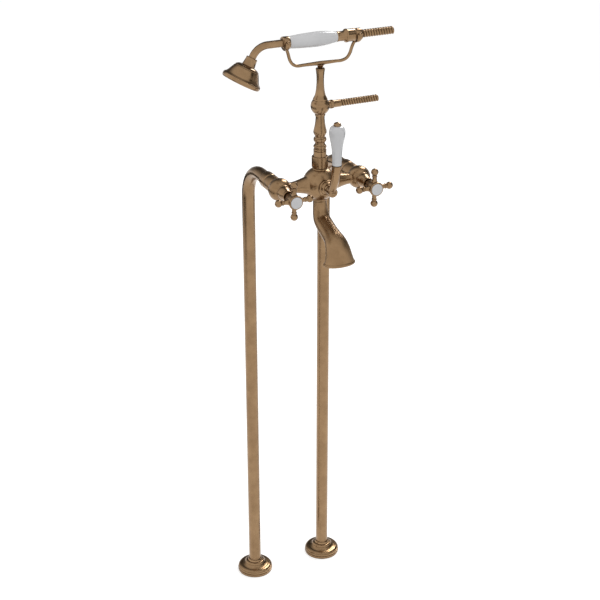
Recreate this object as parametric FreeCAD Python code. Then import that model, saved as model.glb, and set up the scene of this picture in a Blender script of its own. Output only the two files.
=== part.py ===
import FreeCAD, Part
import math
import os

from FreeCAD import Vector

# Floor standing bath filler with a hand shower on a cradle.
# Origin: on the floor, midway between the two leg axes.
# +X to the right seen from the front, -Y towards the front, +Z up. Millimetres.

# ---- driving dimensions ----------------------------------------------------------------

LEG_X = 75.0            # half of the 150 mm spacing between the two legs and valves
LEG_R = 11.75           # leg tube outside radius
LEG_BORE = 10.25
LEG_BEND_R = 61.0       # centre-line radius of the bend at the top of a leg
AXIS_Z = 875.7          # height of the valve axes and of the mixer's arms
MIX_Y = -141.4          # plane of the mixer's arms, riser and cradle
UNION_Y = -90.0         # end face of a leg tube inside its union nut

FLANGE_R = 34.5         # floor flange
ANCHOR_R = 28.0         # hidden plate that is screwed to the floor
ANCHOR_T = 4.0
SCREW_SPAN = 44.0       # front screw to back screw on one plate
SCREW_HOLE_R = 2.25
INLET_R = 7.5           # socket for a 15 mm supply pipe

VALVE_BALL_R = 19.9
CARTRIDGE_R = 9.0
SPINDLE_R = 4.0
SHAFT_GAP = 0.05        # radial running clearance of every turning shaft
HANDLE_Y = -200.7       # plane of the four handle arms
HANDLE_BALL_AT = 28.4   # handle axis to the middle of an end ball
HANDLE_BALL_R = 6.4

BULB_R = 29.6           # middle of the mixer
WATERWAY_R = 5.5
INLET_WAY_Y = -138.5    # drilled way from the valves to the diverter
OUTLET_WAY_Y = -150.5   # drilled way up to the riser and down to the spout
PLUG_R = 11.0           # bore for the diverter plug

HUB_Z = AXIS_Z + 0.3    # diverter axis
LEVER_GRIP_Z = 930.0    # lower end of the lever's porcelain
LEVER_GRIP_Y = -207.8

BALL_Z = 1013.9         # middle of the riser's ball
BALL_R = 16.1
BAR_Z = 1087.2          # cradle bar
GRIP_Z = 1128.2         # axis of the hand shower
HANDSET_TUBE_R = 6.2
HANDSET_BORE = 4.8
SEAT_R = 10.6           # ferrules that lie in the cradle's saddles
HEAD_TILT = 29.0        # shower head axis from the vertical, degrees
HEAD_X = -141.7         # reference point of the head, at the middle of its rim band
HEAD_Z = 1074.0

OUTLET_RIBS = 15        # ribs of the hose on the riser's ball
OUTLET_PITCH = 4.63
HANDSET_RIBS = 12       # ribs of the hose on the hand shower
HANDSET_PITCH = 4.78

SADDLE_LEFT = -63.8     # middles of the two saddles
SADDLE_RIGHT = 66.2

X = Vector(1, 0, 0)
Y = Vector(0, 1, 0)
Z = Vector(0, 0, 1)
FRONT = Vector(0, -1, 0)


# ---- small helpers -----------------------------------------------------------------------

def smooth(points):
    """One smooth curve through points of a profile."""
    curve = Part.BSplineCurve()
    curve.interpolate([Vector(r, 0, along) for along, r in points])
    return curve.toShape()


def turned(runs, base, direction):
    """Solid of revolution about a line.

    Each run is a list of (distance along the line, radius). Two points give a straight
    edge and three or more a smooth curve. Runs that don't meet are joined by a straight edge.
    """
    edges = []
    last = (runs[0][0][0], 0.0)
    for run in runs:
        if last != run[0]:
            edges.append(Part.makeLine(Vector(last[1], 0, last[0]), Vector(run[0][1], 0, run[0][0])))
        if len(run) == 2:
            edges.append(Part.makeLine(Vector(run[0][1], 0, run[0][0]), Vector(run[1][1], 0, run[1][0])))
        elif len(run) > 2:
            edges.append(smooth(run))
        last = run[-1]
    if last[1] > 0:
        edges.append(Part.makeLine(Vector(last[1], 0, last[0]), Vector(0, 0, last[0])))
    edges.append(Part.makeLine(Vector(0, 0, last[0]), Vector(0, 0, runs[0][0][0])))
    face = Part.Face(Part.Wire(edges))
    solid = face.revolve(Vector(0, 0, 0), Z, 360)
    return placed(solid, base, direction)


def placed(shape, base, direction):
    """Turn +Z onto a direction and move the origin to a point."""
    moved = shape.copy()
    moved.Placement = FreeCAD.Placement(base, FreeCAD.Rotation(Z, direction))
    return moved


def rod(base, direction, start, end, radius):
    """Cylinder along a line, between two distances from its base point."""
    unit = Vector(direction)
    unit.normalize()
    return Part.makeCylinder(radius, end - start, base + unit * start, unit)


def ring(base, direction, start, end, outer, inner):
    """Plain washer or sleeve along a line."""
    return rod(base, direction, start, end, outer).cut(rod(base, direction, start, end, inner))


def swept(path, radius):
    """Round bar along a smooth wire."""
    first = path.Edges[0]
    start = first.valueAt(first.FirstParameter)
    along = first.tangentAt(first.FirstParameter)
    circle = Part.Wire([Part.makeCircle(radius, start, along)])
    return path.makePipeShell([circle], True, False)


def bend(corner, before, after, radius):
    """Ends and middle of the arc that rounds a corner between two unit directions."""
    turn = before.getAngle(after)
    reach = radius * math.tan(turn / 2)
    start = corner - before * reach
    end = corner + after * reach
    inward = after - before
    inward.normalize()
    middle = corner + inward * (radius / math.cos(turn / 2) - radius)
    return start, middle, end


def arc(start, middle, end):
    return Part.Arc(start, middle, end).toShape()


def ellipse_wire(centre, normal, half_width, half_depth):
    """Ellipse across the spout: its width lies along X."""
    across = X.cross(normal)
    across.normalize()
    if half_width > half_depth:
        curve = Part.Ellipse(centre + X * half_width, centre + across * half_depth, centre)
    else:
        curve = Part.Circle(centre, normal, half_width)
    return Part.Wire([curve.toShape()])


def export(shape, node):
    shape.exportStep("parts/" + node + ".step")


# ---- legs, floor fixing and unions: one set for each side --------------------------------

def floor_anchor(x):
    """Plate screwed to the floor, with a spigot that the leg slides over."""
    foot = Vector(x, 0, 0)
    plate = rod(foot, Z, 0, ANCHOR_T, ANCHOR_R)
    spigot = rod(foot, Z, ANCHOR_T, 26, LEG_BORE)
    body = plate.fuse(spigot)
    body = body.cut(rod(foot, Z, 0, 15, INLET_R))
    body = body.cut(rod(foot, Z, 15, 26, INLET_R - 1))
    for side in (-1, 1):
        hole = Vector(x, side * SCREW_SPAN / 2, 0)
        body = body.cut(rod(hole, Z, 0, ANCHOR_T, SCREW_HOLE_R))
    return body.cut(rod(Vector(x, 0, 14), Y, INLET_R - 1, LEG_BORE, 1.5)).removeSplitter()


def leg_grubs():
    """Two socket set screws that pin the legs to their spigots, hidden by the floor flanges."""
    screws = []
    for x in (-LEG_X, LEG_X):
        screw = rod(Vector(x, 0, 14), Y, 8.2, 12.2, 1.5)
        screws.append(screw.cut(rod(Vector(x, 0, 14), Y, 10.7, 12.2, 0.7)))
    return Part.makeCompound(screws)


def floor_flange(x):
    """Loose turned cover with a stepped top, dropped over the leg."""
    outside = turned(
        [[(0, FLANGE_R), (5.2, FLANGE_R)],                                   # plain foot ring
         [(5.2, 33.9), (8.2, 33.7), (11.0, 31.6), (12.6, 27.8)],             # rounded torus
         [(12.9, 26.4), (13.5, 24.2), (15.2, 20.8), (17.4, 18.8)],           # hollow up to the ring
         [(17.4, 18.8), (18.6, 18.9), (20.6, 17.6), (21.4, 15.4)],           # middle ring
         [(21.4, 14.2), (22.2, 14.6), (24.2, 13.9), (25.6, 12.6)]],          # collar at the tube
        Vector(x, 0, 0), Z)
    inside = turned(
        [[(0, 32.0), (6.0, 32.0)],
         [(6.0, 32.0), (10.0, 26.0)],
         [(10.0, 26.0), (15.0, 17.5)],
         [(15.0, 17.5), (18.5, 13.2)]],
        Vector(x, 0, 0), Z)
    cover = outside.cut(inside)
    return cover.cut(rod(Vector(x, 0, 0), Z, 0, 30, LEG_R + 0.05))


def leg_path(x):
    """Centre line: up from the floor plate, one bend, forward into the union."""
    foot = Vector(x, 0, ANCHOR_T)
    corner = Vector(x, 0, AXIS_Z)
    start, middle, end = bend(corner, Z, FRONT, LEG_BEND_R)
    tip = Vector(x, UNION_Y, AXIS_Z)
    return Part.Wire([Part.makeLine(foot, start), arc(start, middle, end), Part.makeLine(end, tip)])


def leg_tube(x):
    path = leg_path(x)
    outer = swept(path, LEG_R)
    tube = outer.cut(swept(path, LEG_BORE))
    collar = ring(Vector(x, 0, AXIS_Z), FRONT, -UNION_Y - 2.5, -UNION_Y, 12.5, LEG_BORE)
    screw_hole = rod(Vector(x, 0, 14), Y, LEG_BORE - 1, LEG_R + 1, 1.5)
    return tube.fuse(collar).cut(screw_hole).removeSplitter()


def union_washers():
    """Two flat fibre washers between the legs' collars and the mixer."""
    return Part.makeCompound([ring(Vector(x, 0, AXIS_Z), FRONT, 90, 92, 12.5, LEG_BORE) for x in (-LEG_X, LEG_X)])


def union_nut(x):
    """Round nut that pulls the leg's collar against the mixer."""
    base = Vector(x, 0, AXIS_Z)
    body = turned(
        [[(82.6, 12.9), (84.6, 14.2), (87.0, 14.6)],                         # rounded back edge
         [(87.0, 14.6), (101.0, 14.6)],                                      # plain barrel
         [(101.0, 14.6), (102.8, 14.1), (103.6, 13.4)]],                     # rounded front edge
        base, FRONT)
    body = body.cut(rod(base, FRONT, 80, 88, LEG_R + 0.05))
    return body.cut(rod(base, FRONT, 87.5, 110, 12.9))


# ---- valves: one set for each side ---------------------------------------------------------

def valve_seat(x):
    """Fixed ceramic disc with two quarter windows."""
    base = Vector(x, 0, AXIS_Z)
    disc = rod(base, FRONT, 126.5, 129.5, 7.9)
    for side in (-1, 1):
        disc = disc.cut(rod(base + Z * (4.0 * side), FRONT, 126, 130, 2.6))
    return disc


def valve_disc(x):
    """Turning ceramic disc, closed over the windows at rest."""
    base = Vector(x, 0, AXIS_Z)
    disc = rod(base, FRONT, 129.5, 132.0, 7.8)
    for side in (-1, 1):
        disc = disc.cut(rod(base + X * (4.0 * side), FRONT, 129, 133, 2.6))
    return disc


def valve_spindle(x):
    """Drive fork on the turning disc, then a plain stem out to the handle."""
    base = Vector(x, 0, AXIS_Z)
    head = rod(base, FRONT, 132.0, 134.0, 7.8)
    for side in (-1, 1):
        head = head.cut(rod(base + X * (4.0 * side), FRONT, 131, 135, 2.6))
    stem = rod(base, FRONT, 134.0, 203.0, SPINDLE_R)
    spindle = head.fuse(stem).removeSplitter()
    return spindle.cut(rod(base, FRONT, 192.0, 203.0, 1.6))


def valve_cartridge(x):
    """Headwork screwed into the valve ball: it holds the discs and guides the spindle."""
    base = Vector(x, 0, AXIS_Z)
    body = rod(base, FRONT, 126.5, 159.0, CARTRIDGE_R)
    body = body.fuse(rod(base, FRONT, 157.5, 161.0, 11.2))
    body = body.fuse(rod(base, FRONT, 161.0, 172.5, 6.4))
    body = body.cut(rod(base, FRONT, 126.5, 146.5, 7.9))
    body = body.cut(rod(base, FRONT, 146.5, 173.0, SPINDLE_R + SHAFT_GAP))
    body = body.cut(ring(base, FRONT, 151.0, 153.0, 5.6, SPINDLE_R + SHAFT_GAP))
    for side in (-1, 1):
        start = Vector(x, INLET_WAY_Y, AXIS_Z)
        body = body.cut(rod(start, X * side, 6.0, 10.0, WATERWAY_R - 0.6))
    return body.removeSplitter()


def spindle_seal(x):
    """Ring in the headwork's groove, round the spindle."""
    return ring(Vector(x, 0, AXIS_Z), FRONT, 151.1, 152.9, 5.6, SPINDLE_R + SHAFT_GAP)


def valve_bonnet(x):
    """Domed cover over the headwork, with a small rim at its mouth."""
    base = Vector(x, 0, AXIS_Z)
    outside = turned(
        [[(155.4, 12.9), (157.0, 13.1), (158.6, 12.6)],                      # bead on the ball
         [(158.6, 12.0), (163.0, 11.6), (168.0, 10.3), (172.5, 8.9)],        # dome
         [(172.5, 8.9), (174.2, 8.7)],
         [(174.2, 9.2), (176.0, 9.7), (177.8, 9.2)]],                        # rim
        base, FRONT)
    outside = outside.cut(rod(base, FRONT, 150, 161.0, 11.3))
    outside = outside.cut(rod(base, FRONT, 161.0, 166.0, 9.4))
    return outside.cut(rod(base, FRONT, 166.0, 180.0, 8.0)).cut(
        Part.makeSphere(VALVE_BALL_R, Vector(x, MIX_Y, AXIS_Z)))


def handle_arm(x, direction):
    """Slim turned arm with a bead and an end ball."""
    base = Vector(x, HANDLE_Y, AXIS_Z)
    stalk = turned(
        [[(4.0, 6.0), (10.0, 5.2), (14.0, 4.2), (17.6, 3.8), (19.4, 3.8)],
         [(19.4, 3.8), (19.8, 4.4), (20.8, 4.7), (21.8, 4.3)],               # bead
         [(21.8, 3.7), (HANDLE_BALL_AT, 3.7)]],
        base, direction)
    return stalk.fuse(Part.makeSphere(HANDLE_BALL_R, base + direction * HANDLE_BALL_AT))


def valve_handle(x):
    """Four-armed handle with a hollow skirt and a cup for the index disc."""
    base = Vector(x, 0, AXIS_Z)
    hub = turned(
        [[(172.9, 7.6), (192.6, 7.6)],                                       # skirt inside the bonnet
         [(192.6, 7.6), (194.2, 10.2), (197.0, 11.2), (200.0, 11.4), (204.5, 11.3)],
         [(204.5, 11.3), (206.2, 11.0)],
         [(206.2, 12.0), (208.6, 12.6), (210.6, 12.0)]],                     # rim round the disc
        base, FRONT)
    for direction in (X, X * -1, Z, Z * -1):
        hub = hub.fuse(handle_arm(x, direction))
    hub = hub.cut(rod(base, FRONT, 172.0, 184.0, 6.5))
    hub = hub.cut(rod(base, FRONT, 184.0, 203.0, SPINDLE_R))
    hub = hub.cut(rod(base, FRONT, 203.0, 207.6, 4.0))
    return hub.cut(rod(base, FRONT, 207.6, 212.0, 10.2)).removeSplitter()


def handle_screw(x):
    """Screw that holds the handle on its spindle, under the index disc."""
    base = Vector(x, 0, AXIS_Z)
    screw = rod(base, FRONT, 193.0, 203.0, 1.6).fuse(rod(base, FRONT, 203.0, 205.6, 3.4))
    slot = Part.makeBox(8, 1.2, 0.9, Vector(x - 4, -205.6, AXIS_Z - 0.45))
    return screw.cut(slot).removeSplitter()


def index_disc(x):
    """Porcelain disc, slightly domed."""
    return turned(
        [[(207.6, 10.1), (211.4, 10.1)],
         [(211.4, 10.1), (212.2, 9.4), (212.8, 6.0), (213.0, 0.0)]],
        Vector(x, 0, AXIS_Z), FRONT)


# ---- mixer casting --------------------------------------------------------------------------

def mixer_body():
    """Two valve balls, tapered arms and the middle bulb in one casting, drilled through."""
    centre = Vector(0, MIX_Y, AXIS_Z)
    upright = Vector(0, MIX_Y, 0)
    body = Part.makeSphere(BULB_R, centre)
    for side in (-1, 1):
        arm = turned(
            [[(10.0, 18.0), (26.0, 15.2), (37.0, 12.3), (46.0, 10.4), (54.0, 9.6), (62.0, 9.9)]],
            centre, X * side)
        ball = Part.makeSphere(VALVE_BALL_R, Vector(LEG_X * side, MIX_Y, AXIS_Z))
        face = rod(Vector(LEG_X * side, 0, AXIS_Z), FRONT, 157.5, 170, 11.3)
        inlet = turned(
            [[(92.0, 12.9), (103.6, 12.9)],                                  # male end inside the nut
             [(103.6, 13.6), (105.0, 14.3), (108.0, 14.6)],
             [(108.0, 14.6), (126.0, 14.6)],                                 # plain boss
             [(126.0, 14.6), (127.4, 14.0)],
             [(127.4, 13.4), (136.0, 13.4)]],
            Vector(LEG_X * side, 0, AXIS_Z), FRONT)
        body = body.fuse(arm).fuse(ball.cut(face)).fuse(inlet)
    top = turned(
        [[(AXIS_Z, 12.8), (901.2, 12.8)],
         [(901.2, 12.8), (902.6, 13.2), (904.2, 12.8)],                      # bead under the nut
         [(905.2, 11.6), (914.0, 11.6)]],                                    # male end inside the nut
        upright, Z)
    foot = turned(
        [[(845.4, 11.6), (845.6, 12.5)],
         [(845.6, 12.5), (847.0, 13.0), (849.0, 12.7)],                      # bead over the spout
         [(849.0, 12.7), (AXIS_Z, 12.7)]],
        upright, Z)
    nose = rod(Vector(0, 0, HUB_Z), FRONT, 150.0, 168.6, 13.4)
    body = body.fuse(top).fuse(foot).fuse(nose)
    for side in (-1, 1):
        valve = Vector(LEG_X * side, 0, AXIS_Z)
        body = body.cut(rod(valve, FRONT, 90.0, 126.5, 8.0))                 # inlet
        body = body.cut(rod(valve, FRONT, 126.5, 165.0, CARTRIDGE_R))        # headwork socket
        way = Vector(0, INLET_WAY_Y, AXIS_Z)
        body = body.cut(rod(way, X * side, 5.0, LEG_X - 6, WATERWAY_R))
    body = body.cut(rod(upright, Z, 889.0, 914.0, 10.0))                     # riser socket
    body = body.cut(rod(upright, Z, 840.0, 857.0, 10.0))                     # spout socket
    body = body.cut(rod(Vector(0, OUTLET_WAY_Y, 0), Z, 857.0, 889.0, WATERWAY_R))
    hub = Vector(0, 0, HUB_Z)
    body = body.cut(ring(hub, FRONT, 166.8, 175.0, 14.9, 13.4))              # spot face round the nose
    body = body.cut(rod(hub, FRONT, 168.6, 175.0, 14.9))                     # nose faced off flat
    body = body.cut(rod(hub, FRONT, 130.0, 175.0, PLUG_R))                   # diverter socket
    return body.removeSplitter()


# ---- diverter ---------------------------------------------------------------------------------

def diverter_plug():
    """Turning plug: a rear groove takes the water in, two front ports let it out."""
    base = Vector(0, 0, HUB_Z)
    outer = PLUG_R - SHAFT_GAP
    plug = rod(base, FRONT, 130.5, 160.0, outer)
    plug = plug.cut(ring(base, FRONT, 132.5, 144.5, outer + 1, 7.0))
    plug = plug.cut(rod(base, FRONT, 134.0, 154.0, 4.5))
    for angle in (-45, -135):
        lean = math.radians(angle)
        port = Vector(math.sin(lean), 0, math.cos(lean))
        plug = plug.cut(rod(Vector(0, OUTLET_WAY_Y, HUB_Z), port, 0, 12, 3.6))
        feed = Vector(0, INLET_WAY_Y, HUB_Z)
        plug = plug.cut(rod(feed, port, 0, 12, 3.2))
    plug = plug.fuse(rod(base, FRONT, 160.0, 192.5, 4.0))
    plug = plug.cut(rod(base, FRONT, 183.0, 192.5, 1.6))
    return plug.removeSplitter()


def diverter_seal():
    """Ring on the plug's stem, pressed in by the bonnet."""
    return ring(Vector(0, 0, HUB_Z), FRONT, 161.0, 163.0, 10.9, 4.0 + SHAFT_GAP)


def diverter_bonnet():
    """Round stepped nut on the bulb's front: it keeps the plug in."""
    base = Vector(0, 0, HUB_Z)
    outside = turned(
        [[(167.0, 14.4), (169.6, 14.6)],
         [(169.6, 14.6), (171.0, 14.2), (171.6, 13.2)],                      # flange with rounded edge
         [(171.6, 11.8), (173.6, 11.2)],
         [(173.6, 11.2), (175.2, 10.2), (176.0, 8.6)],                       # inner ring
         [(176.0, 8.0), (180.4, 7.6)]],                                      # short neck
        base, FRONT)
    skirt = rod(base, FRONT, 163.0, 168.6, PLUG_R)
    outside = outside.cut(rod(base, FRONT, 160.0, 168.6, 13.4)).fuse(skirt)
    return outside.cut(rod(base, FRONT, 160.0, 190.0, 4.0 + SHAFT_GAP)).removeSplitter()


def diverter_lever():
    """Round boss on the plug's stem and a stout stalk that leans forward and up."""
    base = Vector(0, 0, HUB_Z)
    boss = turned(
        [[(180.8, 7.2), (182.4, 8.2), (184.0, 8.4)],
         [(184.0, 8.4), (194.0, 8.4)],
         [(194.0, 8.4), (195.8, 7.8), (197.0, 6.4)]],
        base, FRONT)
    points = [Vector(0, -189.5, HUB_Z + 1.0), Vector(0, -193.3, 884.5), Vector(0, -199.0, 896.0),
              Vector(0, -203.5, 911.0), Vector(0, -206.4, 921.0), Vector(0, LEVER_GRIP_Y, LEVER_GRIP_Z)]
    line = Part.BSplineCurve()
    line.interpolate(points, InitialTangent=Vector(0, -0.2, 1), FinalTangent=Vector(0, 0, 1))
    radii = [6.4, 6.9, 7.2, 7.7, 8.2, 8.5]
    wires = []
    for point, radius in zip(points, radii):
        along = line.tangent(line.parameter(point))[0]
        wires.append(Part.Wire([Part.makeCircle(radius, point, along)]))
    stalk = Part.makeLoft(wires, True, False)
    lever = boss.fuse(stalk)
    lever = lever.cut(rod(base, FRONT, 180.0, 192.5, 4.0))
    lever = lever.cut(rod(base, FRONT, 192.5, 194.4, 1.6))
    lever = lever.cut(rod(base, FRONT, 194.4, 198.0, 3.6))
    grip = Vector(0, LEVER_GRIP_Y, LEVER_GRIP_Z)
    return lever.cut(rod(grip, Z, -10, 1, 1.5)).removeSplitter()


def diverter_screw():
    base = Vector(0, 0, HUB_Z)
    screw = rod(base, FRONT, 184.0, 194.4, 1.6).fuse(rod(base, FRONT, 194.4, 196.6, 3.5))
    slot = Part.makeBox(8, 1.0, 0.9, Vector(-4, -196.6, HUB_Z - 0.45))
    return screw.cut(slot).removeSplitter()


def lever_grip():
    """Porcelain grip, swelling towards its top."""
    base = Vector(0, LEVER_GRIP_Y, LEVER_GRIP_Z)
    body = turned(
        [[(0, 7.3), (0.6, 7.8)],
         [(0.6, 7.8), (14.0, 8.2), (27.0, 8.9), (37.0, 10.3), (45.0, 12.0), (52.0, 13.2),
          (58.5, 13.5), (63.5, 12.7), (67.0, 10.2), (68.6, 6.8)]],
        base, Z)
    return body.cut(rod(base, Z, -1, 70, 1.6))


def lever_rod():
    """Domed cap with the long screw that clamps the porcelain to the stalk."""
    base = Vector(0, LEVER_GRIP_Y, LEVER_GRIP_Z)
    cap = turned([[(68.6, 6.3), (70.8, 6.3)], [(70.8, 6.3), (73.4, 5.0), (75.2, 0.0)]], base, Z)
    return cap.fuse(rod(base, Z, -9.5, 68.6, 1.5)).removeSplitter()


# ---- spout ------------------------------------------------------------------------------------

def spout():
    """Swan-neck outlet that widens into a flattened bell with a rolled lip."""
    # Down the centre line: y, z, flow direction from straight down, half width, half depth.
    sections = [(-141.4, 843.0, 0, 11.6, 11.6),     # top ring
                (-143.2, 830.9, 12, 12.6, 11.9),
                (-146.0, 822.0, 24, 13.9, 12.6),
                (-151.0, 813.0, 46, 15.0, 13.6),
                (-162.5, 806.2, 65, 15.6, 14.6),    # level reach
                (-178.8, 799.9, 71, 15.9, 15.0),
                (-196.5, 794.5, 69, 17.2, 14.8),
                (-207.8, 788.9, 52, 19.8, 14.6),    # turn down
                (-216.3, 779.0, 30, 22.5, 14.4),
                (-220.0, 768.0, 14, 25.0, 14.4),
                (-221.0, 760.6, 0, 27.4, 14.8)]     # edge of the lip

    def skin(inset, top, bottom):
        wires = []
        for y, z, pitch, half_width, half_depth in sections:
            flow = Vector(0, -math.sin(math.radians(pitch)), -math.cos(math.radians(pitch)))
            wires.append(ellipse_wire(Vector(0, y, z), flow, half_width - inset, half_depth - inset))
        wires[0].translate(Z * top)
        wires[-1].translate(Z * -bottom)
        return Part.makeLoft(wires, True, False)

    tip = Vector(0, -221.0, 760.6)
    lip = []
    for drop, grow in ((0.0, 0.0), (1.2, 1.4), (3.0, 1.9), (4.8, 1.3), (5.6, 0.2)):
        lip.append(ellipse_wire(tip - Z * drop, Z * -1, 27.4 + grow, 14.8 + grow))
    body = skin(0.0, 0.0, 0.0).fuse(Part.makeLoft(lip, True, False))
    body = body.cut(skin(2.2, 1.0, 6.0))
    upright = Vector(0, MIX_Y, 0)
    spigot = ring(upright, Z, 840.0, 856.0, 10.0, 7.6)
    spigot = spigot.cut(ring(upright, Z, 849.0, 851.4, 11.0, 8.8))
    roof = ring(upright, Z, 840.0, 844.8, 11.4, 7.6)
    return body.fuse(roof).fuse(spigot).removeSplitter()


def spout_seal():
    return ring(Vector(0, MIX_Y, 0), Z, 849.0, 851.4, 10.0, 8.8)


# ---- riser ------------------------------------------------------------------------------------

def riser_nut():
    """Plain round nut that clamps the riser's tail to the mixer."""
    base = Vector(0, MIX_Y, 0)
    nut = turned(
        [[(905.4, 13.4), (906.4, 14.1)],
         [(906.4, 14.1), (924.4, 14.1)],
         [(924.4, 14.1), (925.4, 13.2)]],
        base, Z)
    return nut.cut(rod(base, Z, 900.0, 918.5, 11.6)).cut(rod(base, Z, 918.5, 930.0, 11.05))


def riser_washer():
    return ring(Vector(0, MIX_Y, 0), Z, 914.0, 916.0, 11.5, 7.0)


def riser_column():
    """Turned column: tail in the nut, three beads, a baluster and a slim neck."""
    base = Vector(0, MIX_Y, 0)
    column = turned(
        [[(916.0, 11.5), (918.5, 11.5)],                                     # tail held by the nut
         [(918.5, 11.0), (934.6, 11.0)],                                     # plain drum
         [(934.6, 10.3), (935.0, 10.3)],
         [(935.0, 10.4), (936.6, 11.2), (938.4, 10.4)],                      # lower bead
         [(938.4, 9.9), (940.4, 10.1)],
         [(940.4, 10.4), (942.9, 11.3), (945.0, 10.1)],                      # middle bead
         [(945.0, 8.7), (948.8, 8.7)],
         [(948.8, 8.7), (951.0, 9.3), (952.6, 10.6)],
         [(952.6, 10.6), (955.2, 11.0), (957.6, 10.7)],                      # upper bead
         [(957.6, 9.0), (959.8, 8.4)],
         [(959.8, 8.4), (962.4, 9.3), (965.4, 10.7), (968.6, 11.4), (972.2, 10.8),
          (980.0, 9.1), (988.0, 8.0), (994.2, 7.6)],                         # baluster and neck
         [(994.2, 7.6), (997.2, 7.9)],
         [(997.2, 6.5), (1003.4, 6.5)]],                                     # male end in the ball
        base, Z)
    return column.cut(rod(base, Z, 910.0, 1010.0, 5.0))


def riser_ball():
    """Hollow ball that turns the water sideways to the hose."""
    centre = Vector(0, MIX_Y, BALL_Z)
    base = Vector(0, MIX_Y, 0)
    ball = Part.makeSphere(BALL_R, centre)
    ball = ball.fuse(rod(base, Z, 997.2, 1003.0, 8.9))
    ball = ball.cut(rod(base, Z, 1024.4, 1035.0, 20.0))
    ball = ball.fuse(rod(centre, X, 8.0, 17.6, 6.8))
    ball = ball.fuse(rod(centre, X, 17.6, 25.0, 5.0))
    ball = ball.cut(rod(base, Z, 990.0, 1003.4, 6.5))
    ball = ball.cut(rod(base, Z, 1003.4, 1015.5, 5.0))
    ball = ball.cut(rod(centre, X, 0.0, 30.0, 3.4))
    return ball.cut(rod(base, Z, 1018.8, 1030.0, 4.5)).removeSplitter()


def cradle_post():
    """Upper baluster: wide skirt on the ball, slim waist, small cap ring."""
    base = Vector(0, MIX_Y, 0)
    post = turned(
        [[(1018.8, 4.5), (1024.4, 4.5)],
         [(1024.4, 12.4), (1026.6, 12.2)],
         [(1026.6, 12.2), (1029.0, 10.9), (1032.6, 9.2), (1041.0, 7.35), (1050.0, 6.5), (1058.0, 6.2),
          (1067.0, 6.5), (1073.0, 7.2), (1075.4, 7.6)],
         [(1075.8, 7.2), (1076.2, 7.8)],
         [(1076.2, 7.8), (1078.0, 7.8)],
         [(1078.0, 7.8), (1078.5, 7.4)]],
        base, Z)
    post = post.cut(rod(base, Z, 1056.0, 1080.0, 3.4 + SHAFT_GAP))
    return post.cut(rod(Vector(0, MIX_Y, 1070.0), Y, 0.0, 8.0, 1.5))


def cradle_grub():
    """Set screw in the post's back: its tip runs in the groove of the cradle's spigot."""
    tip = Vector(0, MIX_Y, 1070.0)
    screw = rod(tip, Y, 2.75, 6.4, 1.5)
    return screw.cut(rod(tip, Y, 5.2, 6.4, 0.7))


def outlet_ferrule():
    """Collar and plain sleeve between the ball and the hose."""
    base = Vector(0, MIX_Y, BALL_Z)
    sleeve = turned(
        [[(17.6, 7.0), (18.4, 7.4)],
         [(18.4, 7.4), (23.0, 7.4)],
         [(23.0, 7.4), (23.8, 6.9)],
         [(23.8, 6.4), (37.4, 6.3)],
         [(37.4, 6.3), (38.0, 5.8)]],
        base, X)
    return sleeve.cut(rod(base, X, 10.0, 26.0, 5.0)).cut(rod(base, X, 26.0, 40.0, 4.0))


# ---- hose stubs ---------------------------------------------------------------------------------

def ribbed_sleeve(base, start, ribs, pitch, crest, root, bore):
    """Wound metal sleeve: every rib is a ruled loft through four circles on a steady X axis."""
    solid = None
    for index in range(ribs):
        low = start + index * pitch
        rings = [(low, root), (low + 0.22 * pitch, crest), (low + 0.72 * pitch, crest), (low + pitch, root)]
        wires = []
        for along, radius in rings:
            wires.append(Part.Wire([Part.makeCircle(radius, base + X * along, X)]))
        rib = Part.makeLoft(wires, True, True)
        solid = rib if solid is None else solid.fuse(rib)
    length = ribs * pitch
    return solid.cut(rod(base, X, start - 1, start + length + 1, bore))


def outlet_hose():
    return ribbed_sleeve(Vector(0, MIX_Y, BALL_Z), 38.0, OUTLET_RIBS, OUTLET_PITCH, 6.1, 5.3, 4.0)


def outlet_liner():
    end = 38.0 + OUTLET_RIBS * OUTLET_PITCH - 1.0
    return ring(Vector(0, MIX_Y, BALL_Z), X, 26.0, end, 4.0, 2.8)


def handset_hose():
    return ribbed_sleeve(Vector(0, MIX_Y, GRIP_Z), 76.0, HANDSET_RIBS, HANDSET_PITCH, 6.8, 6.0, 4.6)


def handset_liner():
    end = 76.0 + HANDSET_RIBS * HANDSET_PITCH - 1.0
    return ring(Vector(0, MIX_Y, GRIP_Z), X, 68.0, end, 4.6, 3.2)


# ---- cradle ---------------------------------------------------------------------------------------

def saddle(x):
    """U-shaped strap with small ball tips, open at the top and narrow at the bottom."""
    seat = Vector(x, MIX_Y, GRIP_Z)
    hollow = rod(seat, X, -6, 6, SEAT_R + 0.3)
    strap = rod(seat, X, -3.9, 3.9, SEAT_R + 2.6)
    for shape in (hollow, strap):
        shape.rotate(seat, X, 140)                                           # seam away from the bottom
    strap = strap.cut(hollow)
    low = GRIP_Z - SEAT_R - 3
    outline = Part.makePolygon([Vector(x - 3.9, MIX_Y - 20, GRIP_Z), Vector(x + 3.9, MIX_Y - 20, GRIP_Z),
                                Vector(x + 3.6, MIX_Y - 20, GRIP_Z - 6), Vector(x + 2.2, MIX_Y - 20, low),
                                Vector(x - 2.2, MIX_Y - 20, low), Vector(x - 3.6, MIX_Y - 20, GRIP_Z - 6),
                                Vector(x - 3.9, MIX_Y - 20, GRIP_Z)])
    strap = strap.common(Part.Face(outline).extrude(Y * 40))
    for side in (-1, 1):
        prong = Part.makeBox(7.8, 2.3, 2.6, Vector(x - 3.9, MIX_Y - 1.15 + side * (SEAT_R + 1.45), GRIP_Z))
        tip = Part.makeSphere(2.5, Vector(x, MIX_Y + side * (SEAT_R + 3.0), GRIP_Z + 3.4))
        strap = strap.fuse(prong).fuse(tip)
    return strap.cut(hollow)


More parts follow.
